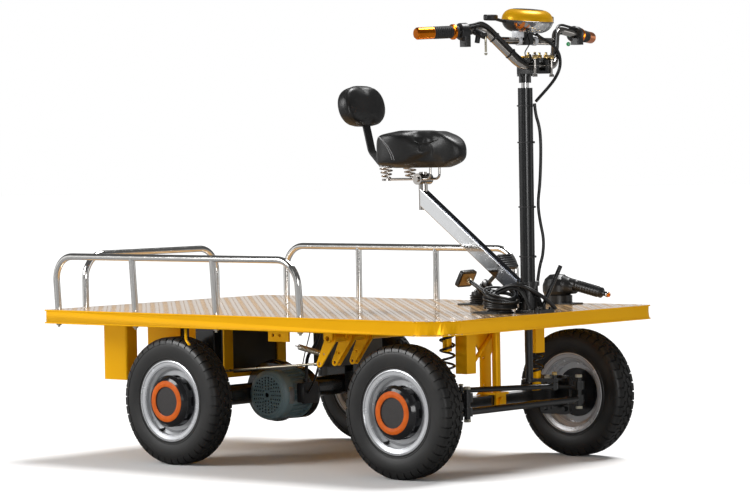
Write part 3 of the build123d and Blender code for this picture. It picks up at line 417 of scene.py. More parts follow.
def smoothLine(name, points, radius, finish, resolution=12):
    # a round cable along one smooth NURBS line, points in metres
    data = bpy.data.curves.new(name, "CURVE")
    data.dimensions = "3D"
    data.bevel_depth = radius
    data.bevel_resolution = 3
    data.use_fill_caps = True
    data.resolution_u = resolution
    line = data.splines.new("NURBS")
    line.points.add(len(points) - 1)
    for spot, place in zip(line.points, points):
        spot.co = (*place, 1)
    line.order_u = 3
    line.use_endpoint_u = True
    obj = bpy.data.objects.new(name, data)
    bpy.context.scene.collection.objects.link(obj)
    data.materials.append(finish)
    return obj


def makeCord(name, route, body, node):
    cord = smoothLine(name, route, cordDiameter / 2, finishes["black_rubber"])
    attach(cord, body)
    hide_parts(node)


makeCord("columnCable", lowerRoute, "chassis", "harness_lower")
makeCord("headCable", upperRoute, "steering", "harness_upper")
print("cords made")


# pieces are shaped in millimetres and turned to metres when they are finished
def facing(start, end):
    a, b = Vector(start), Vector(end)
    return Matrix.Translation(a) @ (b - a).to_track_quat("Z", "Y").to_matrix().to_4x4()


class Shape:
    def __init__(self):
        self.bm = bmesh.new()

    def rounded(self, verts, edge, segments=2):
        edges = list({e for v in verts for e in v.link_edges})
        bmesh.ops.bevel(self.bm, geom=edges, offset=edge, segments=segments, profile=0.5, affect="EDGES",
                        material=-1)

    def box(self, low, high, edge=0.0, turn=None):
        a, b = Vector(low), Vector(high)
        place = Matrix.Translation((a + b) / 2) @ (turn or Matrix.Identity(4)) @ Matrix.Diagonal((*(b - a), 1))
        verts = bmesh.ops.create_cube(self.bm, size=1, matrix=place)["verts"]
        if edge:
            self.rounded(verts, edge)
        return self

    def rod(self, start, end, radius, tip=None, segments=20, edge=0.0):
        length = (Vector(end) - Vector(start)).length
        place = facing(start, end) @ Matrix.Translation((0, 0, length / 2))
        made = bmesh.ops.create_cone(self.bm, cap_ends=True, segments=segments, radius1=radius,
                                     radius2=radius if tip is None else tip, depth=length, matrix=place)
        if edge:
            rims = [e for v in made["verts"] for e in v.link_edges if any(len(f.verts) > 4 for f in e.link_faces)]
            bmesh.ops.bevel(self.bm, geom=list(set(rims)), offset=edge, segments=2, profile=0.5,
                            affect="EDGES", material=-1)
        return self

    def hexagon(self, start, end, across, edge=0.6):
        return self.rod(start, end, across / math.sqrt(3), segments=6, edge=edge)

    def turned(self, start, end, outline, segments=32):
        # outline: radius, distance from start
        old = set(self.bm.verts)
        spots = [self.bm.verts.new((r, 0, t)) for r, t in outline]
        edges = [self.bm.edges.new(pair) for pair in zip(spots, spots[1:])]
        bmesh.ops.spin(self.bm, geom=spots + edges, cent=(0, 0, 0), axis=(0, 0, 1), angle=2 * math.pi,
                       steps=segments, use_merge=True, use_duplicate=False)
        made = [v for v in self.bm.verts if v not in old]
        bmesh.ops.remove_doubles(self.bm, verts=made, dist=0.001)
        made = [v for v in self.bm.verts if v not in old]
        bmesh.ops.transform(self.bm, matrix=facing(start, end), verts=made)
        faces = list({f for v in made for f in v.link_faces})
        bmesh.ops.recalc_face_normals(self.bm, faces=faces)
        return self

    def around(self, centre, axis, count, build):
        # build makes one copy; it is repeated evenly about the axis
        old = set(self.bm.verts)
        build()
        made = [v for v in self.bm.verts if v not in old]
        faces = list({f for v in made for f in v.link_faces})
        edges = list({e for v in made for e in v.link_edges})
        bmesh.ops.spin(self.bm, geom=made + edges + faces, cent=centre, axis=axis, use_duplicate=True,
                       angle=2 * math.pi * (count - 1) / count, steps=count - 1)
        return self

    def piece(self, name, body, finish, slot, smooth=40, solid=None, levels=0):
        bmesh.ops.scale(self.bm, vec=(0.001, 0.001, 0.001), verts=self.bm.verts)
        data = bpy.data.meshes.new(name)
        self.bm.to_mesh(data)
        self.bm.free()
        obj = bpy.data.objects.new(name, data)
        bpy.context.scene.collection.objects.link(obj)
        data.materials.append(finish)
        if smooth:
            data.shade_smooth()
            data.set_sharp_from_angle(angle=math.radians(smooth))
        if solid:
            wall = obj.modifiers.new("wall", "SOLIDIFY")
            wall.thickness = solid
            wall.offset = 0
        if levels:
            sub = obj.modifiers.new("round", "SUBSURF")
            sub.levels = sub.render_levels = levels
        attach(obj, body)
        return obj


# tyres: carcass turned on the axle line, tread blocks round it; radius and offset from the middle
tyre = {
    "carcass": ((102, 30), (106, 33), (112, 35.2), (117, 36.2), (119, 35.4), (121, 35.8), (122.2, 37.6),
                (124, 37.9),
                (125.2, 36.9), (135, 38.9), (146, 40), (156, 39.9), (165,
                                                                     39), (172.5, 36.2), (177.4, 28.5), (179.2, 14), (179.6, 0)),
    "steps": 104, "pitches": 42,
    "shoulder": ((174, 17), (182.8, 17.5), (182.2, 27), (179, 34.5), (172, 39.6), (163, 40.6), (162, 38),
                 (172, 30)),
    "shoulderLong": 22, "centreLong": 23.5, "centreWide": 12.5, "centrePlace": 9, "centreSkew": 24, "blockTop": 183,
}


def tyrePitch(shape, cfg):
    # one pitch: a shoulder block and a skewed centre block at each side, half a pitch apart
    step = 2 * math.pi / cfg["pitches"]
    for side in (-1, 1):
        old = set(shape.bm.verts)
        corners = [shape.bm.verts.new((r, side * t, -cfg["shoulderLong"] / 2)) for r, t in cfg["shoulder"]]
        face = shape.bm.faces.new(corners)
        pushed = bmesh.ops.extrude_face_region(shape.bm, geom=[face])["geom"]
        moved = [v for v in pushed if isinstance(v, bmesh.types.BMVert)]
        bmesh.ops.translate(shape.bm, vec=(0, 0, cfg["shoulderLong"]), verts=moved)
        made = [v for v in shape.bm.verts if v not in old]
        turn = Matrix.Rotation(step * (0.25 if side > 0 else -0.25), 4, "Y")
        bmesh.ops.transform(shape.bm, matrix=turn, verts=made)
        faces = list({f for v in made for f in v.link_faces})
        bmesh.ops.recalc_face_normals(shape.bm, faces=faces)
        top = cfg["blockTop"]
        skew = Matrix.Rotation(math.radians(cfg["centreSkew"] * side), 4, "X")
        place = Matrix.Rotation(-step * 0.25 * side, 4,
                                "Y") @ Matrix.Translation((top - 5, side * cfg["centrePlace"], 0)) @ skew
        size = Matrix.Diagonal((9.4, cfg["centreWide"], cfg["centreLong"], 1))
        made = bmesh.ops.create_cube(shape.bm, size=1, matrix=place @ size)["verts"]
        shape.rounded(made, 0.8, 1)


def makeTyre(place, cfg):
    x, y, out = wheelPlaces[place]
    shape = Shape()
    half = list(cfg["carcass"])
    outline = half + [(r, -t) for r, t in reversed(half[:-1])]
    # inner wall closes the section between the beads
    outline += [(100, -29), (100, 29), outline[0]]
    shape.turned((0, 0, 0), (0, out, 0), outline, cfg["steps"])
    shape.around((0, 0, 0), (0, 1, 0), cfg["pitches"], lambda: tyrePitch(shape, cfg))
    bmesh.ops.translate(shape.bm, vec=(x, y, axleHeight * 1000), verts=shape.bm.verts)
    obj = shape.piece("tread_" + place, "wheel_" + place, finishes["tyre"], "tyre", 38)
    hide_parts("tyre_" + place)


for place in wheelPlaces:
    makeTyre(place, tyre)
print("tyres made")

# valve stem of each wheel
wheelTrim = {"valve": (-45, -84), "valveRun": (12, 33)}


def makeWheelTrim(place, cfg):
    x, y, out = wheelPlaces[place]
    z = axleHeight * 1000
    vx, vz = cfg["valve"]
    a, b = (y + out * t for t in cfg["valveRun"])
    shape = Shape().rod((x + vx, a, z + vz), (x + vx, b - out * 8, z + vz), 4.4, 3.6, 12, 0.5)
    shape.rod((x + vx, b - out * 8, z + vz), (x + vx, b, z + vz), 3, 2.7, 10, 0.4)
    shape.piece("valve_" + place, "wheel_" + place, finishes["black_rubber"], "black_rubber")


for place in wheelPlaces:
    makeWheelTrim(place, wheelTrim)

# raised lozenges of the chequer sheet
chequer = {"pitch": 27.0, "long": 20, "wide": 6, "high": 0.6, "edge": 16, "top": 435, "half": (756, 476),
           "corner": 95, "keepOut": ((600, 760, -58, 58), (550, 665, -108, -18), (222, 324, 228, 312),
                                     (380, 540, 384, 456))}


def makeChequer(cfg):
    shape = Shape()
    halfX, halfY = cfg["half"]
    countX, countY = (int((2 * h - 2 * cfg["edge"]) / cfg["pitch"]) for h in cfg["half"])
    for i in range(countX + 1):
        for j in range(countY + 1):
            x = (i - countX / 2) * cfg["pitch"]
            y = (j - countY / 2) * cfg["pitch"]
            if any(x0 - 12 < x < x1 + 12 and y0 - 12 < y < y1 + 12 for x0, x1, y0, y1 in cfg["keepOut"]):
                continue
            cornerX, cornerY = x - (halfX - cfg["corner"]), -y - (halfY - cfg["corner"])
            if cornerX > 0 and cornerY > 0 and math.hypot(cornerX, cornerY) > cfg["corner"] - cfg["edge"]:
                continue
            turn = Matrix.Rotation(math.radians(45 if (i + j) % 2 else -45), 4, "Z")
            size = Matrix.Diagonal((cfg["long"] / 2, cfg["wide"] / 2, cfg["high"], 1))
            place = Matrix.Translation((x, y, cfg["top"] + cfg["high"] / 2 - 0.05)) @ turn @ size
            bmesh.ops.create_cone(shape.bm, cap_ends=True, segments=8, radius1=1, radius2=0.62, depth=1,
                                  matrix=place)
    shape.piece("chequerStuds", "chassis", finishes["checker_sheet"], "checker_sheet", 50)


makeChequer(chequer)

# the far front corner of the deck is nearly square; the CAD deck's is round like the near one
deckCorner = {"centre": (0.661, 0.381), "rims": (0.095, 0.092, 0.089), "round": 0.1, "cuts": 2}


def squareShare(angle, rounding):
    # distance from a unit square's middle to its rounded outline
    across, up = abs(math.cos(angle)), abs(math.sin(angle))
    if min(across, up) <= (1 - rounding) * max(across, up):
        return 1 / max(across, up)
    along = (across + up) * (1 - rounding)
    return along + math.sqrt(along * along - 2 * (1 - rounding) ** 2 + rounding * rounding)


def makeDeck(cfg):
    data = frame["nodes"]["deck"].data.copy()
    bm = bmesh.new()
    bm.from_mesh(data)
    bmesh.ops.remove_doubles(bm, verts=bm.verts, dist=0.00002)
    cx, cy = cfg["centre"]

    def atCorner(v):
        return v.co.x > cx - 0.00005 and v.co.y > cy - 0.00005 and math.hypot(v.co.x - cx, v.co.y - cy) > 0.08

    arcs = [e for e in bm.edges if all(atCorner(v) for v in e.verts) and abs(e.verts[0].co.z - e.verts[1].co.z) < 0.0001
            and 0.001 < e.calc_length() < 0.03]
    bmesh.ops.subdivide_edges(bm, edges=arcs, cuts=cfg["cuts"])
    for v in bm.verts:
        if not atCorner(v):
            continue
        dx, dy = v.co.x - cx, v.co.y - cy
        reach = math.hypot(dx, dy)
        angle = math.atan2(dy, dx)
        near = min(cfg["rims"], key=lambda r: abs(r - reach))
        if abs(near - reach) < 0.0012:
            reach = near
        reach *= squareShare(angle, cfg["round"])
        v.co.x, v.co.y = cx + reach * math.cos(angle), cy + reach * math.sin(angle)
    bmesh.ops.recalc_face_normals(bm, faces=bm.faces)
    bm.to_mesh(data)
    bm.free()
    obj = bpy.data.objects.new("deckSheet", data)
    bpy.context.scene.collection.objects.link(obj)
    data.materials.clear()
    data.materials.append(finishes["checker_sheet"])
    data.shade_smooth()
    data.set_sharp_from_angle(angle=math.radians(30))
    even = obj.modifiers.new("even", "WEIGHTED_NORMAL")
    even.keep_sharp = True
    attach(obj, "chassis")
    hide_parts("deck")


makeDeck(deckCorner)
print("deck made")

# bolts: node or place, axis, hexagon across flats
railFeet = {"near": (-451, (-722, -403, -83, 236)), "far": (451, (-636, -334, -25, 280))}


def makeBolts():
    shape = Shape()
    for y, posts in railFeet.values():
        for x in posts:
            shape.rod((x, y, 431), (x, y, 384), 4, segments=12, edge=0.6)
            shape.hexagon((x, y, 396), (x, y, 389), 14)
    for y in (-331, 232):
        shape.rod((-731, y, 431), (-731, y, 386), 4, segments=12, edge=0.6)
        shape.hexagon((-731, y, 396), (-731, y, 389), 14)
    shape.piece("railBolts", "chassis", finishes["zinc"], "zinc")
    # gold zinc heads at the stem clamps
    shape = Shape()
    for y in (-25, 25):
        for x in (711, 734):
            shape.rod((x, y, 1130), (x, y, 1152), 3.6, segments=12, edge=0.5)
            shape.hexagon((x, y, 1137), (x, y, 1145), 12)
            shape.rod((x, y, 1136), (x, y, 1138), 8.5, segments=16)
    for y in (-37, 37):
        shape.hexagon((743, y, 1135), (743, y, 1143), 12)
        shape.rod((743, y, 1134), (743, y, 1136), 7.5, segments=16)
    shape.piece("clampNuts", "steering", special["goldZinc"], "zinc")
    shape = Shape()
    for y in (-37, 37):
        shape.rod((743, y, 1088), (743, y, 1149), 3.4, segments=14,
                  edge=0.6).hexagon((743, y, 1084), (743, y, 1091), 12)
    shape.piece("clampBolts", "steering", finishes["chrome"], "chrome")
    # kingpin nuts, tie rod and drag link nuts
    for side, name in ((1, "left"), (-1, "right")):
        shape = Shape()
        y = side * 250
        shape.hexagon((550, y, 228), (550, y, 238), 20)
        shape.rod((550, y, 238), (550, y, 242), 6, segments=12, edge=0.8)
        shape.hexagon((660, y, 238), (660, y, 246), 17)
        shape.hexagon((660, y, 157), (660, y, 149), 17)
        if side < 0:
            shape.hexagon((616, -222, 244), (616, -222, 250), 12)
        for dx in (-36, 36):
            for dz in (-40, 40):
                outer = side * 300
                shape.hexagon((550 + dx, outer, 183 + dz), (550 + dx, outer + side * 7, 183 + dz), 13)
        shape.piece("knuckleNuts_" + name, "knuckle_" + name, finishes["zinc"], "zinc")
    shape = Shape().hexagon((745, 28, 264), (745, 28, 271), 12)
    shape.rod((745, 28, 263), (745, 28, 265), 8, segments=16)
    shape.piece("dropArmNut", "steering", special["goldZinc"], "zinc")


makeBolts()

# black ties round the column and its cable, height
columnTies = {"heights": (1006, 905, 727, 590), "inner": 22.2, "thick": 1.6, "wide": 4}


def makeTies(cfg):
    shape = Shape()
    for z in cfg["heights"]:
        # the strap runs round the tube and out over the cable
        centre = Vector((679, 0, z))
        low, high, half = cfg["inner"], cfg["inner"] + cfg["thick"], cfg["wide"] / 2
        outline = [(low, -half), (high, -half), (high, half), (low, half), (low, -half)]
        shape.turned(centre, centre + Vector((0, 0, 1)), outline, 40)
        shape.box((700, -1, z - 3), (707, 5, z + 3), 0.8)
    shape.piece("columnTies", "chassis", finishes["black_plastic"], "black_plastic")


makeTies(columnTies)
print("fixings made")

# loose cables: body, finish, radius and route in millimetres
looseCables = {
    "baseArc": ("chassis", "black_rubber", 5.5, ((588, -70, 450), (590, -62, 476), (616, -54, 499),
                                                 (662, -50, 514),
                                                 (702, -38, 508), (728, -6,
                                                                   484), (738, 26, 460), (741, 42, 445))),
    "baseArcSecond": ("chassis", "black_rubber", 4, ((600, -96, 448), (612, -84, 478), (644, -70, 496),
                                                     (668, -52, 505),
                                                     (690, -46, 498), (712, -48, 470), (724, -46, 448))),
    "throttleCable": ("steering", "black_rubber", 3.6, ((674, -252, 1222), (676, -222, 1224),
                                                        (667, -161, 1237),
                                                        (700, -114,
                                                         1178), (732, -66,
                                                                 1122), (738, -40, 1126), (716, -24, 1144))),
    "brakeCable": ("steering", "black_rubber", 3.2, ((679, -258, 1217), (682, -226, 1219), (673, -168, 1231),
                                                     (706, -119, 1172), (735, -72, 1115), (741, -48, 1108))),
    "switchCable": ("steering", "black_rubber", 3.6, ((674, 252, 1222), (676, 222, 1224), (667, 161, 1237),
                                                      (700, 114, 1178), (732, 66, 1124), (734, 40, 1142))),
    "podWire": ("steering", "black_rubber", 1.6, ((694, -6, 1212), (700, -10, 1190), (716, -20, 1178),
                                                  (712, -34, 1160),
                                                  (716, -48, 1150), (722, -50, 1138))),
    "podWireSecond": ("steering", "black_rubber", 2.6, ((684, 18, 1212), (700, 24, 1196), (706, 30, 1204),
                                                        (702, 34, 1196))),
    "motorCable": ("chassis", "black_rubber", 5, ((-79, -80, 228), (-79, -81, 262), (-62, -92, 300),
                                                  (-20, -104, 330),
                                                  (-8, -100, 368), (-10, -96, 396))),
    "motorCableSecond": ("chassis", "black_rubber", 3.4, ((-64, -92, 190), (-30, -110, 214), (0, -116, 262),
                                                          (6, -108, 330),
                                                          (4, -100, 396))),
    "brakeReturn": ("chassis", "zinc", 1.8, ((136, -300, 383), (100, -270, 352), (60, -240, 318),
                                             (13, -200, 271))),
}


def makeLooseCables(cables):
    for name, (body, finish, radius, route) in cables.items():
        line = smoothLine(name, [tuple(v / 1000 for v in p) for p in route], radius / 1000, finishes[finish])
        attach(line, body)


makeLooseCables(looseCables)

# a heap of cable wound round the near pedal's boot
heap = {"centre": (636, -66), "wind": 9, "radius": (41, 49), "cable": 3.6, "low": 448, "rise": 4.6,
        "lean": 16}


def makeHeap(cfg):
    shape = Shape()
    for k in range(cfg["wind"]):
        old = set(shape.bm.verts)
        radius = random.uniform(*cfg["radius"])
        section = bmesh.ops.create_circle(shape.bm, cap_ends=False, segments=10, radius=cfg["cable"],
                                          matrix=Matrix.Translation((radius, 0,
                                                                     0)) @ Matrix.Rotation(math.radians(90), 4, "X"))["verts"]
        edges = list({e for v in section for e in v.link_edges})
        bmesh.ops.spin(shape.bm, geom=section + edges, cent=(0, 0, 0), axis=(0, 0, 1), angle=2 * math.pi,
                       steps=40, use_merge=True, use_duplicate=False)
        made = [v for v in shape.bm.verts if v not in old]
        lean = math.radians(cfg["lean"] * (0.3 + k / cfg["wind"]))
        turn = Matrix.Rotation(random.uniform(-0.6, 0.9), 4, "Z") @ Matrix.Rotation(lean, 4, "Y")
        x, y = cfg["centre"]
        place = Matrix.Translation((x + random.uniform(-4, 4), y + random.uniform(-4, 4),
                                    cfg["low"] + 6 + k * cfg["rise"]))
        bmesh.ops.transform(shape.bm, matrix=place @ turn, verts=made)
    for v in shape.bm.verts:
        v.co.z = max(v.co.z, cfg["low"] - 9)
    bmesh.ops.recalc_face_normals(shape.bm, faces=shape.bm.faces)
    shape.piece("cableHeap", "chassis", finishes["black_rubber"], "black_rubber", 60)


makeHeap(heap)


# handlebar fittings
barFittings = {"lock": ((676, -214, 1208), (712, -214, 1194), 10),
               "key": ((711, -216, 1150), (717, -212, 1192)),
               "bands": (-34, 38), "bandRadius": 12.6, "connector": ((678, -56, 1192), (702, -30, 1216)),
               "button": (640, 250, 1180), "armTies": (0.3, 0.72)}
crossbar = (683, 134, 1184)


def makeBarFittings(cfg):
    start, end, radius = cfg["lock"]
    Shape().rod(start, end, radius, edge=1.5).rod((684, -214, 1176), (690, -214, 1206), 7).piece(
        "ignitionLock", "steering", finishes["black_plastic"], "black_plastic")
    shape = Shape().box(*cfg["key"], 1).rod((714, -214, 1148), (714, -214, 1142), 5, 3)
    shape.piece("ignitionKey", "steering", finishes["zinc"], "zinc")
    shape = Shape()
    x, _, z = crossbar
    for y in cfg["bands"]:
        shape.rod((x, y - 6, z), (x, y + 6, z), cfg["bandRadius"], edge=1.5)
    low, high = cfg["connector"]
    shape.box(low, high, 3)
    shape.piece("crossbarBands", "steering", special["whitePlastic"], "black_plastic")
    shape = Shape().rod(cfg["button"], Vector(cfg["button"]) + Vector((8, -10, 0)), 6, edge=1)
    shape.piece("greenButton", "steering", special["greenPlastic"], "black_plastic")
    shape = Shape()
    low, high = Vector((662, -165, 1220)), Vector((722, -76, 1115))
    for share in cfg["armTies"]:
        centre = low.lerp(high, share) + Vector((0.53, 0.458, 0.69)) * 4.5
        ring = [(15.4, -2), (16.6, -2), (16.6, 2), (15.4, 2), (15.4, -2)]
        shape.turned(centre, centre + (high - low).normalized(), ring, 28)
    shape.piece("armTies", "steering", finishes["black_plastic"], "black_plastic")
    Shape().box((708, -58, 1137), (722, -44, 1141), 1.2).piece("stemTag", "steering",
                                                               finishes["yellow_plastic"], "yellow_plastic")


makeBarFittings(barFittings)

# pod: smoked screen on the shell and a dark trim round the parting line
pod = {"centre": (690, 0, 1240), "tilt": 6, "half": (0.66, 0.80), "screen": (40, 49, 3.0), "screenLift": 31,
       "trim": ((98, -3.4), (102.4, -2.8), (103, -0.6), (101, 0.6), (97, -0.6), (98, -3.4))}


def makePodTrim(cfg):
    tilt = Matrix.Translation(cfg["centre"]) @ Matrix.Rotation(math.radians(cfg["tilt"]), 4, "Y")
    a, b, c = cfg["screen"]
    shape = Shape()
    bmesh.ops.create_uvsphere(shape.bm, u_segments=40, v_segments=12, radius=1,
                              matrix=tilt @ Matrix.Translation((0, 0,
                                                                cfg["screenLift"] - 1)) @ Matrix.Diagonal((a, b, c, 1)))
    shape.piece("podScreen", "steering", special["screen"], "black_plastic", 60)
    shape = Shape().turned((0, 0, 0), (0, 0, 1), cfg["trim"], 56)
    bmesh.ops.transform(shape.bm, matrix=tilt @ Matrix.Diagonal((*cfg["half"], 1, 1)), verts=shape.bm.verts)
    shape.piece("podTrim", "steering", special["greyTrim"], "black_plastic", 50)


makePodTrim(pod)

# pedals: metal back of the near pad, ribs on the far one
pads = {"near": ((513, -62, 527), (627, -62, 470)), "far": ((388, 270, 558), (284, 270, 470)), "ribs": 6}


def padFrame(pad, boot):
    # x across the pad, z away from the boot
    away = (Vector(pad) - Vector(boot)).normalized()
    across = Vector((0, 1, 0))
    turn = Matrix((across, away.cross(across), away)).transposed().to_4x4()
    return Matrix.Translation(pad) @ turn


def makePads(cfg):
    place = padFrame(*cfg["near"])
    shape = Shape().box((-26, -18, -2.4), (26, 18, -0.2), 0.8)
    bmesh.ops.transform(shape.bm, matrix=place, verts=shape.bm.verts)
    shape.piece("pedalBack", "chassis", special["ochre"], "yellow_paint")
    shape = Shape().hexagon((0, 0, -2), (0, 0, -9), 15).rod((0, 0, -9), (0, 0, -15), 7.5, edge=1)
    bmesh.ops.transform(shape.bm, matrix=place, verts=shape.bm.verts)
    shape.piece("pedalNut", "chassis", finishes["zinc"], "zinc")
    shape = Shape()
    for key in ("near", "far"):
        old = set(shape.bm.verts)
        for k in range(cfg["ribs"]):
            y = -20 + 40 * k / (cfg["ribs"] - 1)
            shape.box((-29, y - 1.8, 9.6), (29, y + 1.8, 11.8), 0.6)
        made = [v for v in shape.bm.verts if v not in old]
        bmesh.ops.transform(shape.bm, matrix=padFrame(*cfg[key]), verts=made)
    shape.piece("pedalRibs", "chassis", finishes["black_rubber"], "black_rubber")


makePads(pads)

# under the deck: brake return spring, motor plate, parking brake button
underParts = {"spring": ((93, -300, 340), (180, -300, 323)), "coil": 7, "wire": 1.5, "turns": 17,
              "motor": (-160, 184), "plate": (-144, -124, 73.3,
                                              38), "grip": ((632, 420, 466), (0.977, 0, -0.213))}


def makeUnderParts(cfg):
    a, b = (Vector(p) for p in cfg["spring"])
    length = (b - a).length
    shape = Shape()
    section = bmesh.ops.create_circle(shape.bm, cap_ends=True, segments=7, radius=cfg["wire"],
                                      matrix=Matrix.Translation((cfg["coil"], 0,
                                                                 0)) @ Matrix.Rotation(math.radians(90), 4, "X"))["verts"]
    steps = cfg["turns"] * 14
    faces = list({f for v in section for f in v.link_faces})
    bmesh.ops.spin(shape.bm, geom=section + list({e for f in faces for e in f.edges}) + faces,
                   cent=(0, 0, 0), axis=(0, 0, 1),
                   dvec=(0, 0,
                         length / steps), angle=2 * math.pi * cfg["turns"], steps=steps, use_duplicate=False)
    bmesh.ops.transform(shape.bm, matrix=facing(a, b), verts=shape.bm.verts)
    bmesh.ops.recalc_face_normals(shape.bm, faces=shape.bm.faces)
    along = (b - a).normalized()
    shape.rod(a - along * 14, a + along * 2, 1.6, segments=8).rod(b - along * 2, b + along * 14, 1.6,
                                                                  segments=8)
    shape.piece("returnSpring", "chassis", finishes["zinc"], "zinc", 60)
    # blank plate bent round the motor
    y0, y1, radius, arc = cfg["plate"]
    mx, mz = cfg["motor"]
    shape = Shape()
    ends = [shape.bm.verts.new((mx + radius, y, mz)) for y in (y0, y1)]
    edge = shape.bm.edges.new(ends)
    bmesh.ops.rotate(shape.bm, verts=ends, cent=(mx, 0, mz),
                     matrix=Matrix.Rotation(math.radians(arc / 2), 3, "Y"))
    bmesh.ops.spin(shape.bm, geom=ends + [edge], cent=(mx, 0, mz), axis=(0, -1, 0), angle=math.radians(arc),
                   steps=16,
                   use_duplicate=False)
    bmesh.ops.solidify(shape.bm, geom=list(shape.bm.faces), thickness=0.8)
    bmesh.ops.recalc_face_normals(shape.bm, faces=shape.bm.faces)
    shape.piece("motorPlate", "chassis", special["silverPlate"], "zinc", 30)
    end, run = (Vector(v) for v in cfg["grip"])
    Shape().rod(end + run * 4, end + run * 10, 8.4, edge=1.2).piece("gripFerrule", "chassis",
                                                                    finishes["chrome"], "chrome")
    Shape().rod(end + run * 10, end + run * 15, 6, edge=1.5).piece("gripButton", "chassis",
                                                                   special["orangeMetal"], "chrome")


makeUnderParts(underParts)
print("details made")

# pads: remeshed copies of the solids, swollen as cloth and capped
padding = {
    "saddle": {"voxel": 0.005, "shrink": 0.003, "smooth": 24, "cap": 0.009, "fill": 0.75, "pressure": 4},
    "backrest": {"voxel": 0.005, "shrink": 0.003, "smooth": 10, "cap": 0.008, "fill": 0.8, "pressure": 4},
}


def makePad(node, cfg):
    source = frame["nodes"][node]
    data = source.data.copy()
    obj = bpy.data.objects.new(node + "Pad", data)
    bpy.context.scene.collection.objects.link(obj)
    bm = bmesh.new()
    bm.from_mesh(data)
    bmesh.ops.remove_doubles(bm, verts=bm.verts, dist=0.00002)
    bm.to_mesh(data)
    bm.free()
    data.remesh_voxel_size = cfg["voxel"]
    bpy.context.view_layer.objects.active = obj
    obj.select_set(True)
    bpy.ops.object.voxel_remesh()
    bm = bmesh.new()
    bm.from_mesh(obj.data)
    for k in range(cfg["smooth"]):
        bmesh.ops.smooth_vert(bm, verts=bm.verts, factor=0.5, use_axis_x=True, use_axis_y=True,
                              use_axis_z=True)
    bm.normal_update()
    for v in bm.verts:
        v.co -= v.normal * cfg["shrink"] * 0.3
    bm.to_mesh(obj.data)
    bm.free()
    swell(obj, cfg)
    sub = obj.modifiers.new("fine", "SUBSURF")
    sub.levels = sub.render_levels = 1
    obj.data.materials.clear()
    obj.data.materials.append(finishes["leather"])
    obj.data.shade_smooth()
    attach(obj, "chassis")
    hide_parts(node)
    obj.select_set(False)
    return obj


def swell(obj, cfg):
    scene = bpy.context.scene
    rest = [v.co.copy() for v in obj.data.vertices]
    cloth = obj.modifiers.new("cloth", "CLOTH")
    cloth.settings.use_pressure = True
    cloth.settings.uniform_pressure_force = cfg["pressure"]
    cloth.settings.effector_weights.gravity = 0
    cloth.settings.tension_stiffness = 12
    cloth.settings.bending_stiffness = 0.6
    for step in range(1, 21):
        scene.frame_set(step)
    graph = bpy.context.evaluated_depsgraph_get()
    moved = [v.co.copy() for v in obj.evaluated_get(graph).data.vertices]
    obj.modifiers.remove(cloth)
    scene.frame_set(1)
    for v, a, b in zip(obj.data.vertices, rest, moved):
        shift = b - a
        if shift.length > cfg["cap"]:
            shift *= cfg["cap"] / shift.length
        v.co = a + shift
    bm = bmesh.new()
    bm.from_mesh(obj.data)
    for k in range(3):
        bmesh.ops.smooth_vert(bm, verts=bm.verts, factor=0.4, use_axis_x=True, use_axis_y=True,
                              use_axis_z=True)
    bm.to_mesh(obj.data)
    bm.free()


saddlePad = makePad("saddle", padding["saddle"])
backPad = makePad("backrest", padding["backrest"])

# seams and stitches laid on the pads: side line of the saddle as x, z; half widths of its top seam by x
sewing = {
    "sideLine": ((203, 914), (212, 925), (232, 927), (250, 917), (266, 899), (277, 878), (283, 857)),
    "stitch": 4.6, "gap": 6.5, "thread": 0.9,
    "topSeam": ((214, 44), (236, 74), (262, 86), (300, 82), (345, 62), (390, 40), (430, 27), (452, 16)),
    "backSeam": (10, 60, 24), "seam": 1.3,
}


def padTree(obj):
    graph = bpy.context.evaluated_depsgraph_get()
    return BVHTree.FromObject(obj, graph)


def landed(tree, start, toward):
    hit = tree.ray_cast(Vector(start) / 1000, Vector(toward))
    return None if hit[0] is None else (hit[0] * 1000, hit[1])


def alongLine(points, step):
    # even steps along a polyline of x, z pairs
    out = []
    for a, b in zip(points, points[1:]):
        a, b = Vector(a), Vector(b)
        count = max(1, round((b - a).length / step))
        out += [a.lerp(b, k / count) for k in range(count)]
    return out


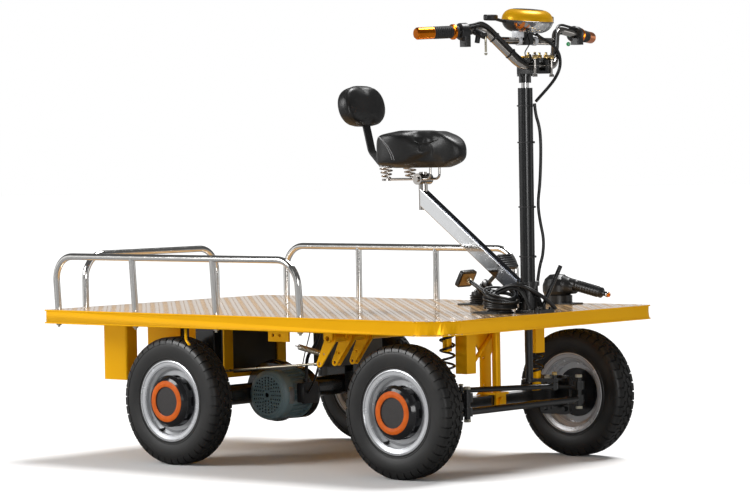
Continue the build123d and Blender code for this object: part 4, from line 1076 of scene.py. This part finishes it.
def makeSewing(cfg):
    tree = padTree(saddlePad)
    shape = Shape()
    for side in (-1, 1):
        for shift in (0, cfg["gap"]):
            line = alongLine([(x + shift, z - shift * 0.2) for x, z in cfg["sideLine"]], cfg["stitch"])
            for a, b in zip(line, line[1:]):
                ends = [landed(tree, (p.x, side * 160, p.y), (0, -side, 0)) for p in (a, a.lerp(b, 0.68))]
                if all(ends):
                    lifted = [spot + normal * 0.3 for spot, normal in ends]
                    shape.rod(lifted[0], lifted[1], cfg["thread"], segments=6)
    shape.piece("stitches", "chassis", special["thread"], "leather", 40)
    near = [landed(tree, (x, y, 1000), (0, 0, -1)) for x, y in cfg["topSeam"]]
    far = [landed(tree, (x, -y, 1000), (0, 0, -1)) for x, y in reversed(cfg["topSeam"])]
    loop = [hit[0] / 1000 for hit in near + far if hit]
    seam = smoothLine("saddleSeam", loop, cfg["seam"] / 1000, finishes["leather"])
    seam.data.splines[0].use_cyclic_u = True
    seam.data.splines[0].use_endpoint_u = False
    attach(seam, "chassis")
    # welt where the front cover of the backrest meets its side band
    tree = padTree(backPad)
    out, reach, count = cfg["backSeam"]
    tilt = math.radians(13)
    front, up = Vector((math.cos(tilt), 0, math.sin(tilt))), Vector((-math.sin(tilt), 0, math.cos(tilt)))
    middle = Vector((80, 0, 1015)) + front * out
    loop = []
    for k in range(count):
        angle = 2 * math.pi * k / count
        away = Vector((0, 1, 0)) * math.cos(angle) + up * math.sin(angle)
        hit = landed(tree, middle + away * 200, -away)
        if hit:
            loop.append((hit[0] + hit[1] * 0.4) / 1000)
    welt = smoothLine("backrestWelt", loop, cfg["seam"] / 1000, finishes["leather"])
    welt.data.splines[0].use_cyclic_u = True
    welt.data.splines[0].use_endpoint_u = False
    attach(welt, "chassis")


makeSewing(sewing)
print("pads made")

# floor, world, sun and soft lamps; levels are what diffuse, glossy and camera rays meet
studio = {
    "floorSize": 60, "floorSeen": 0.86, "floorBounce": 0.62, "floorMirrored": 0.22,
    "worldLevel": 0.25, "worldMirrored": 0.10,
    "sun": {"azimuth": 176, "elevation": 64, "power": 3.8, "soft": 28},
    "lamps": (
        {"name": "keyPanel", "place": (-2.6, -4.6, 2.9), "size": 2.6, "power": 210},
        {"name": "frontPanel", "place": (5.0, -3.6, 1.3), "size": 1.6, "power": 60},
    ),
    # cards that only reflections see: azimuth, distance, width, low, high, level
    "cards": ((221, 9.0, 26.0, -0.3, 2.6, 0.62), (10, 7.0, 0.6, 0.2, 4.0, 1.8), (76, 7.0, 0.5, 0.2, 4.0, 1.5),
              (-54, 7.0, 4.6, -0.4, 3.2, 0.85), (122.5, 7.0, 3.0, -0.4, 2.4, 0.95)),
}


def plainObject(name, data):
    obj = bpy.data.objects.new(name, data)
    bpy.context.scene.collection.objects.link(obj)
    return obj


def raised(azimuth, elevation=0.0):
    a, e = math.radians(azimuth), math.radians(elevation)
    return Vector((math.sin(a) * math.cos(e), -math.cos(a) * math.cos(e), math.sin(e)))


def makeFloor(cfg):
    data = bpy.data.meshes.new("floor")
    bm = bmesh.new()
    bmesh.ops.create_grid(bm, x_segments=1, y_segments=1, size=cfg["floorSize"])
    bm.to_mesh(data)
    bm.free()
    floor = plainObject("floor", data)
    m = Mat("floorWhite")
    seen = m.add("ShaderNodeLightPath").outputs
    direct = m.math("MAXIMUM", seen["Is Camera Ray"], seen["Is Transmission Ray"])
    level = m.mix(direct, m.mix(seen["Is Glossy Ray"], cfg["floorBounce"], cfg["floorMirrored"]),
                  cfg["floorSeen"])
    shade = m.add("ShaderNodeCombineColor", {0: level, 1: level, 2: level}).outputs[0]
    m.set(Base_Color=shade, Roughness=1.0, Specular_IOR_Level=0.0)
    data.materials.append(m.material)


def makeWorld(cfg):
    world = bpy.data.worlds.new("studioWorld")
    bpy.context.scene.world = world
    world.use_nodes = True
    tree = world.node_tree
    back = tree.nodes["Background"]
    back.inputs[0].default_value = (1, 1, 1, 1)
    path = tree.nodes.new("ShaderNodeLightPath").outputs
    seen = tree.nodes.new("ShaderNodeMath")
    seen.operation = "MAXIMUM"
    tree.links.new(path["Is Camera Ray"], seen.inputs[0])
    tree.links.new(path["Is Transmission Ray"], seen.inputs[1])
    levels = ((path["Is Glossy Ray"], cfg["worldLevel"], cfg["worldMirrored"]), (seen.outputs[0], None, 1.0))
    last = None
    for share, low, high in levels:
        mixed = tree.nodes.new("ShaderNodeMix")
        tree.links.new(share, mixed.inputs[0])
        mixed.inputs[3].default_value = high
        if last:
            tree.links.new(last, mixed.inputs[2])
        else:
            mixed.inputs[2].default_value = low
        last = mixed.outputs[0]
    tree.links.new(last, back.inputs[1])


def makeLamps(cfg):
    row = cfg["sun"]
    lamp = bpy.data.lights.new("softSun", "SUN")
    lamp.energy = row["power"]
    lamp.angle = math.radians(row["soft"])
    toward = raised(row["azimuth"], row["elevation"])
    plainObject("softSun", lamp).matrix_world = toward.to_track_quat("Z", "Y").to_matrix().to_4x4()
    for row in cfg["lamps"]:
        lamp = bpy.data.lights.new(row["name"], "AREA")
        lamp.size = row["size"]
        lamp.energy = row["power"]
        aim = Vector((0, 0, 0.4)) - Vector(row["place"])
        turn = aim.to_track_quat("-Z", "Y").to_matrix().to_4x4()
        plainObject(row["name"], lamp).matrix_world = Matrix.Translation(row["place"]) @ turn
    for k, (azimuth, distance, width, low, high, level) in enumerate(cfg["cards"]):
        m = Mat("card" + str(k))
        m.set(Base_Color=colour(0, 0, 0), Roughness=1.0, Specular_IOR_Level=0.0,
              Emission_Color=colour(1, 1, 1),
              Emission_Strength=level)
        bm = bmesh.new()
        bmesh.ops.create_grid(bm, x_segments=1, y_segments=1, size=0.5)
        turn = Matrix.Rotation(math.radians(azimuth), 4,
                               "Z") @ Matrix.Translation((0, -distance, (low + high) / 2))
        size = Matrix.Diagonal((width, 1, high - low, 1))
        bmesh.ops.transform(bm, matrix=turn @ size @ Matrix.Rotation(math.radians(90), 4, "X"),
                            verts=bm.verts)
        data = bpy.data.meshes.new("card" + str(k))
        bm.to_mesh(data)
        bm.free()
        data.materials.append(m.material)
        card = plainObject("card" + str(k), data)
        card.visible_camera = card.visible_diffuse = card.visible_shadow = False


makeFloor(studio)
makeWorld(studio)
makeLamps(studio)
bpy.context.scene.view_settings.view_transform = "Standard"
print("studio made")
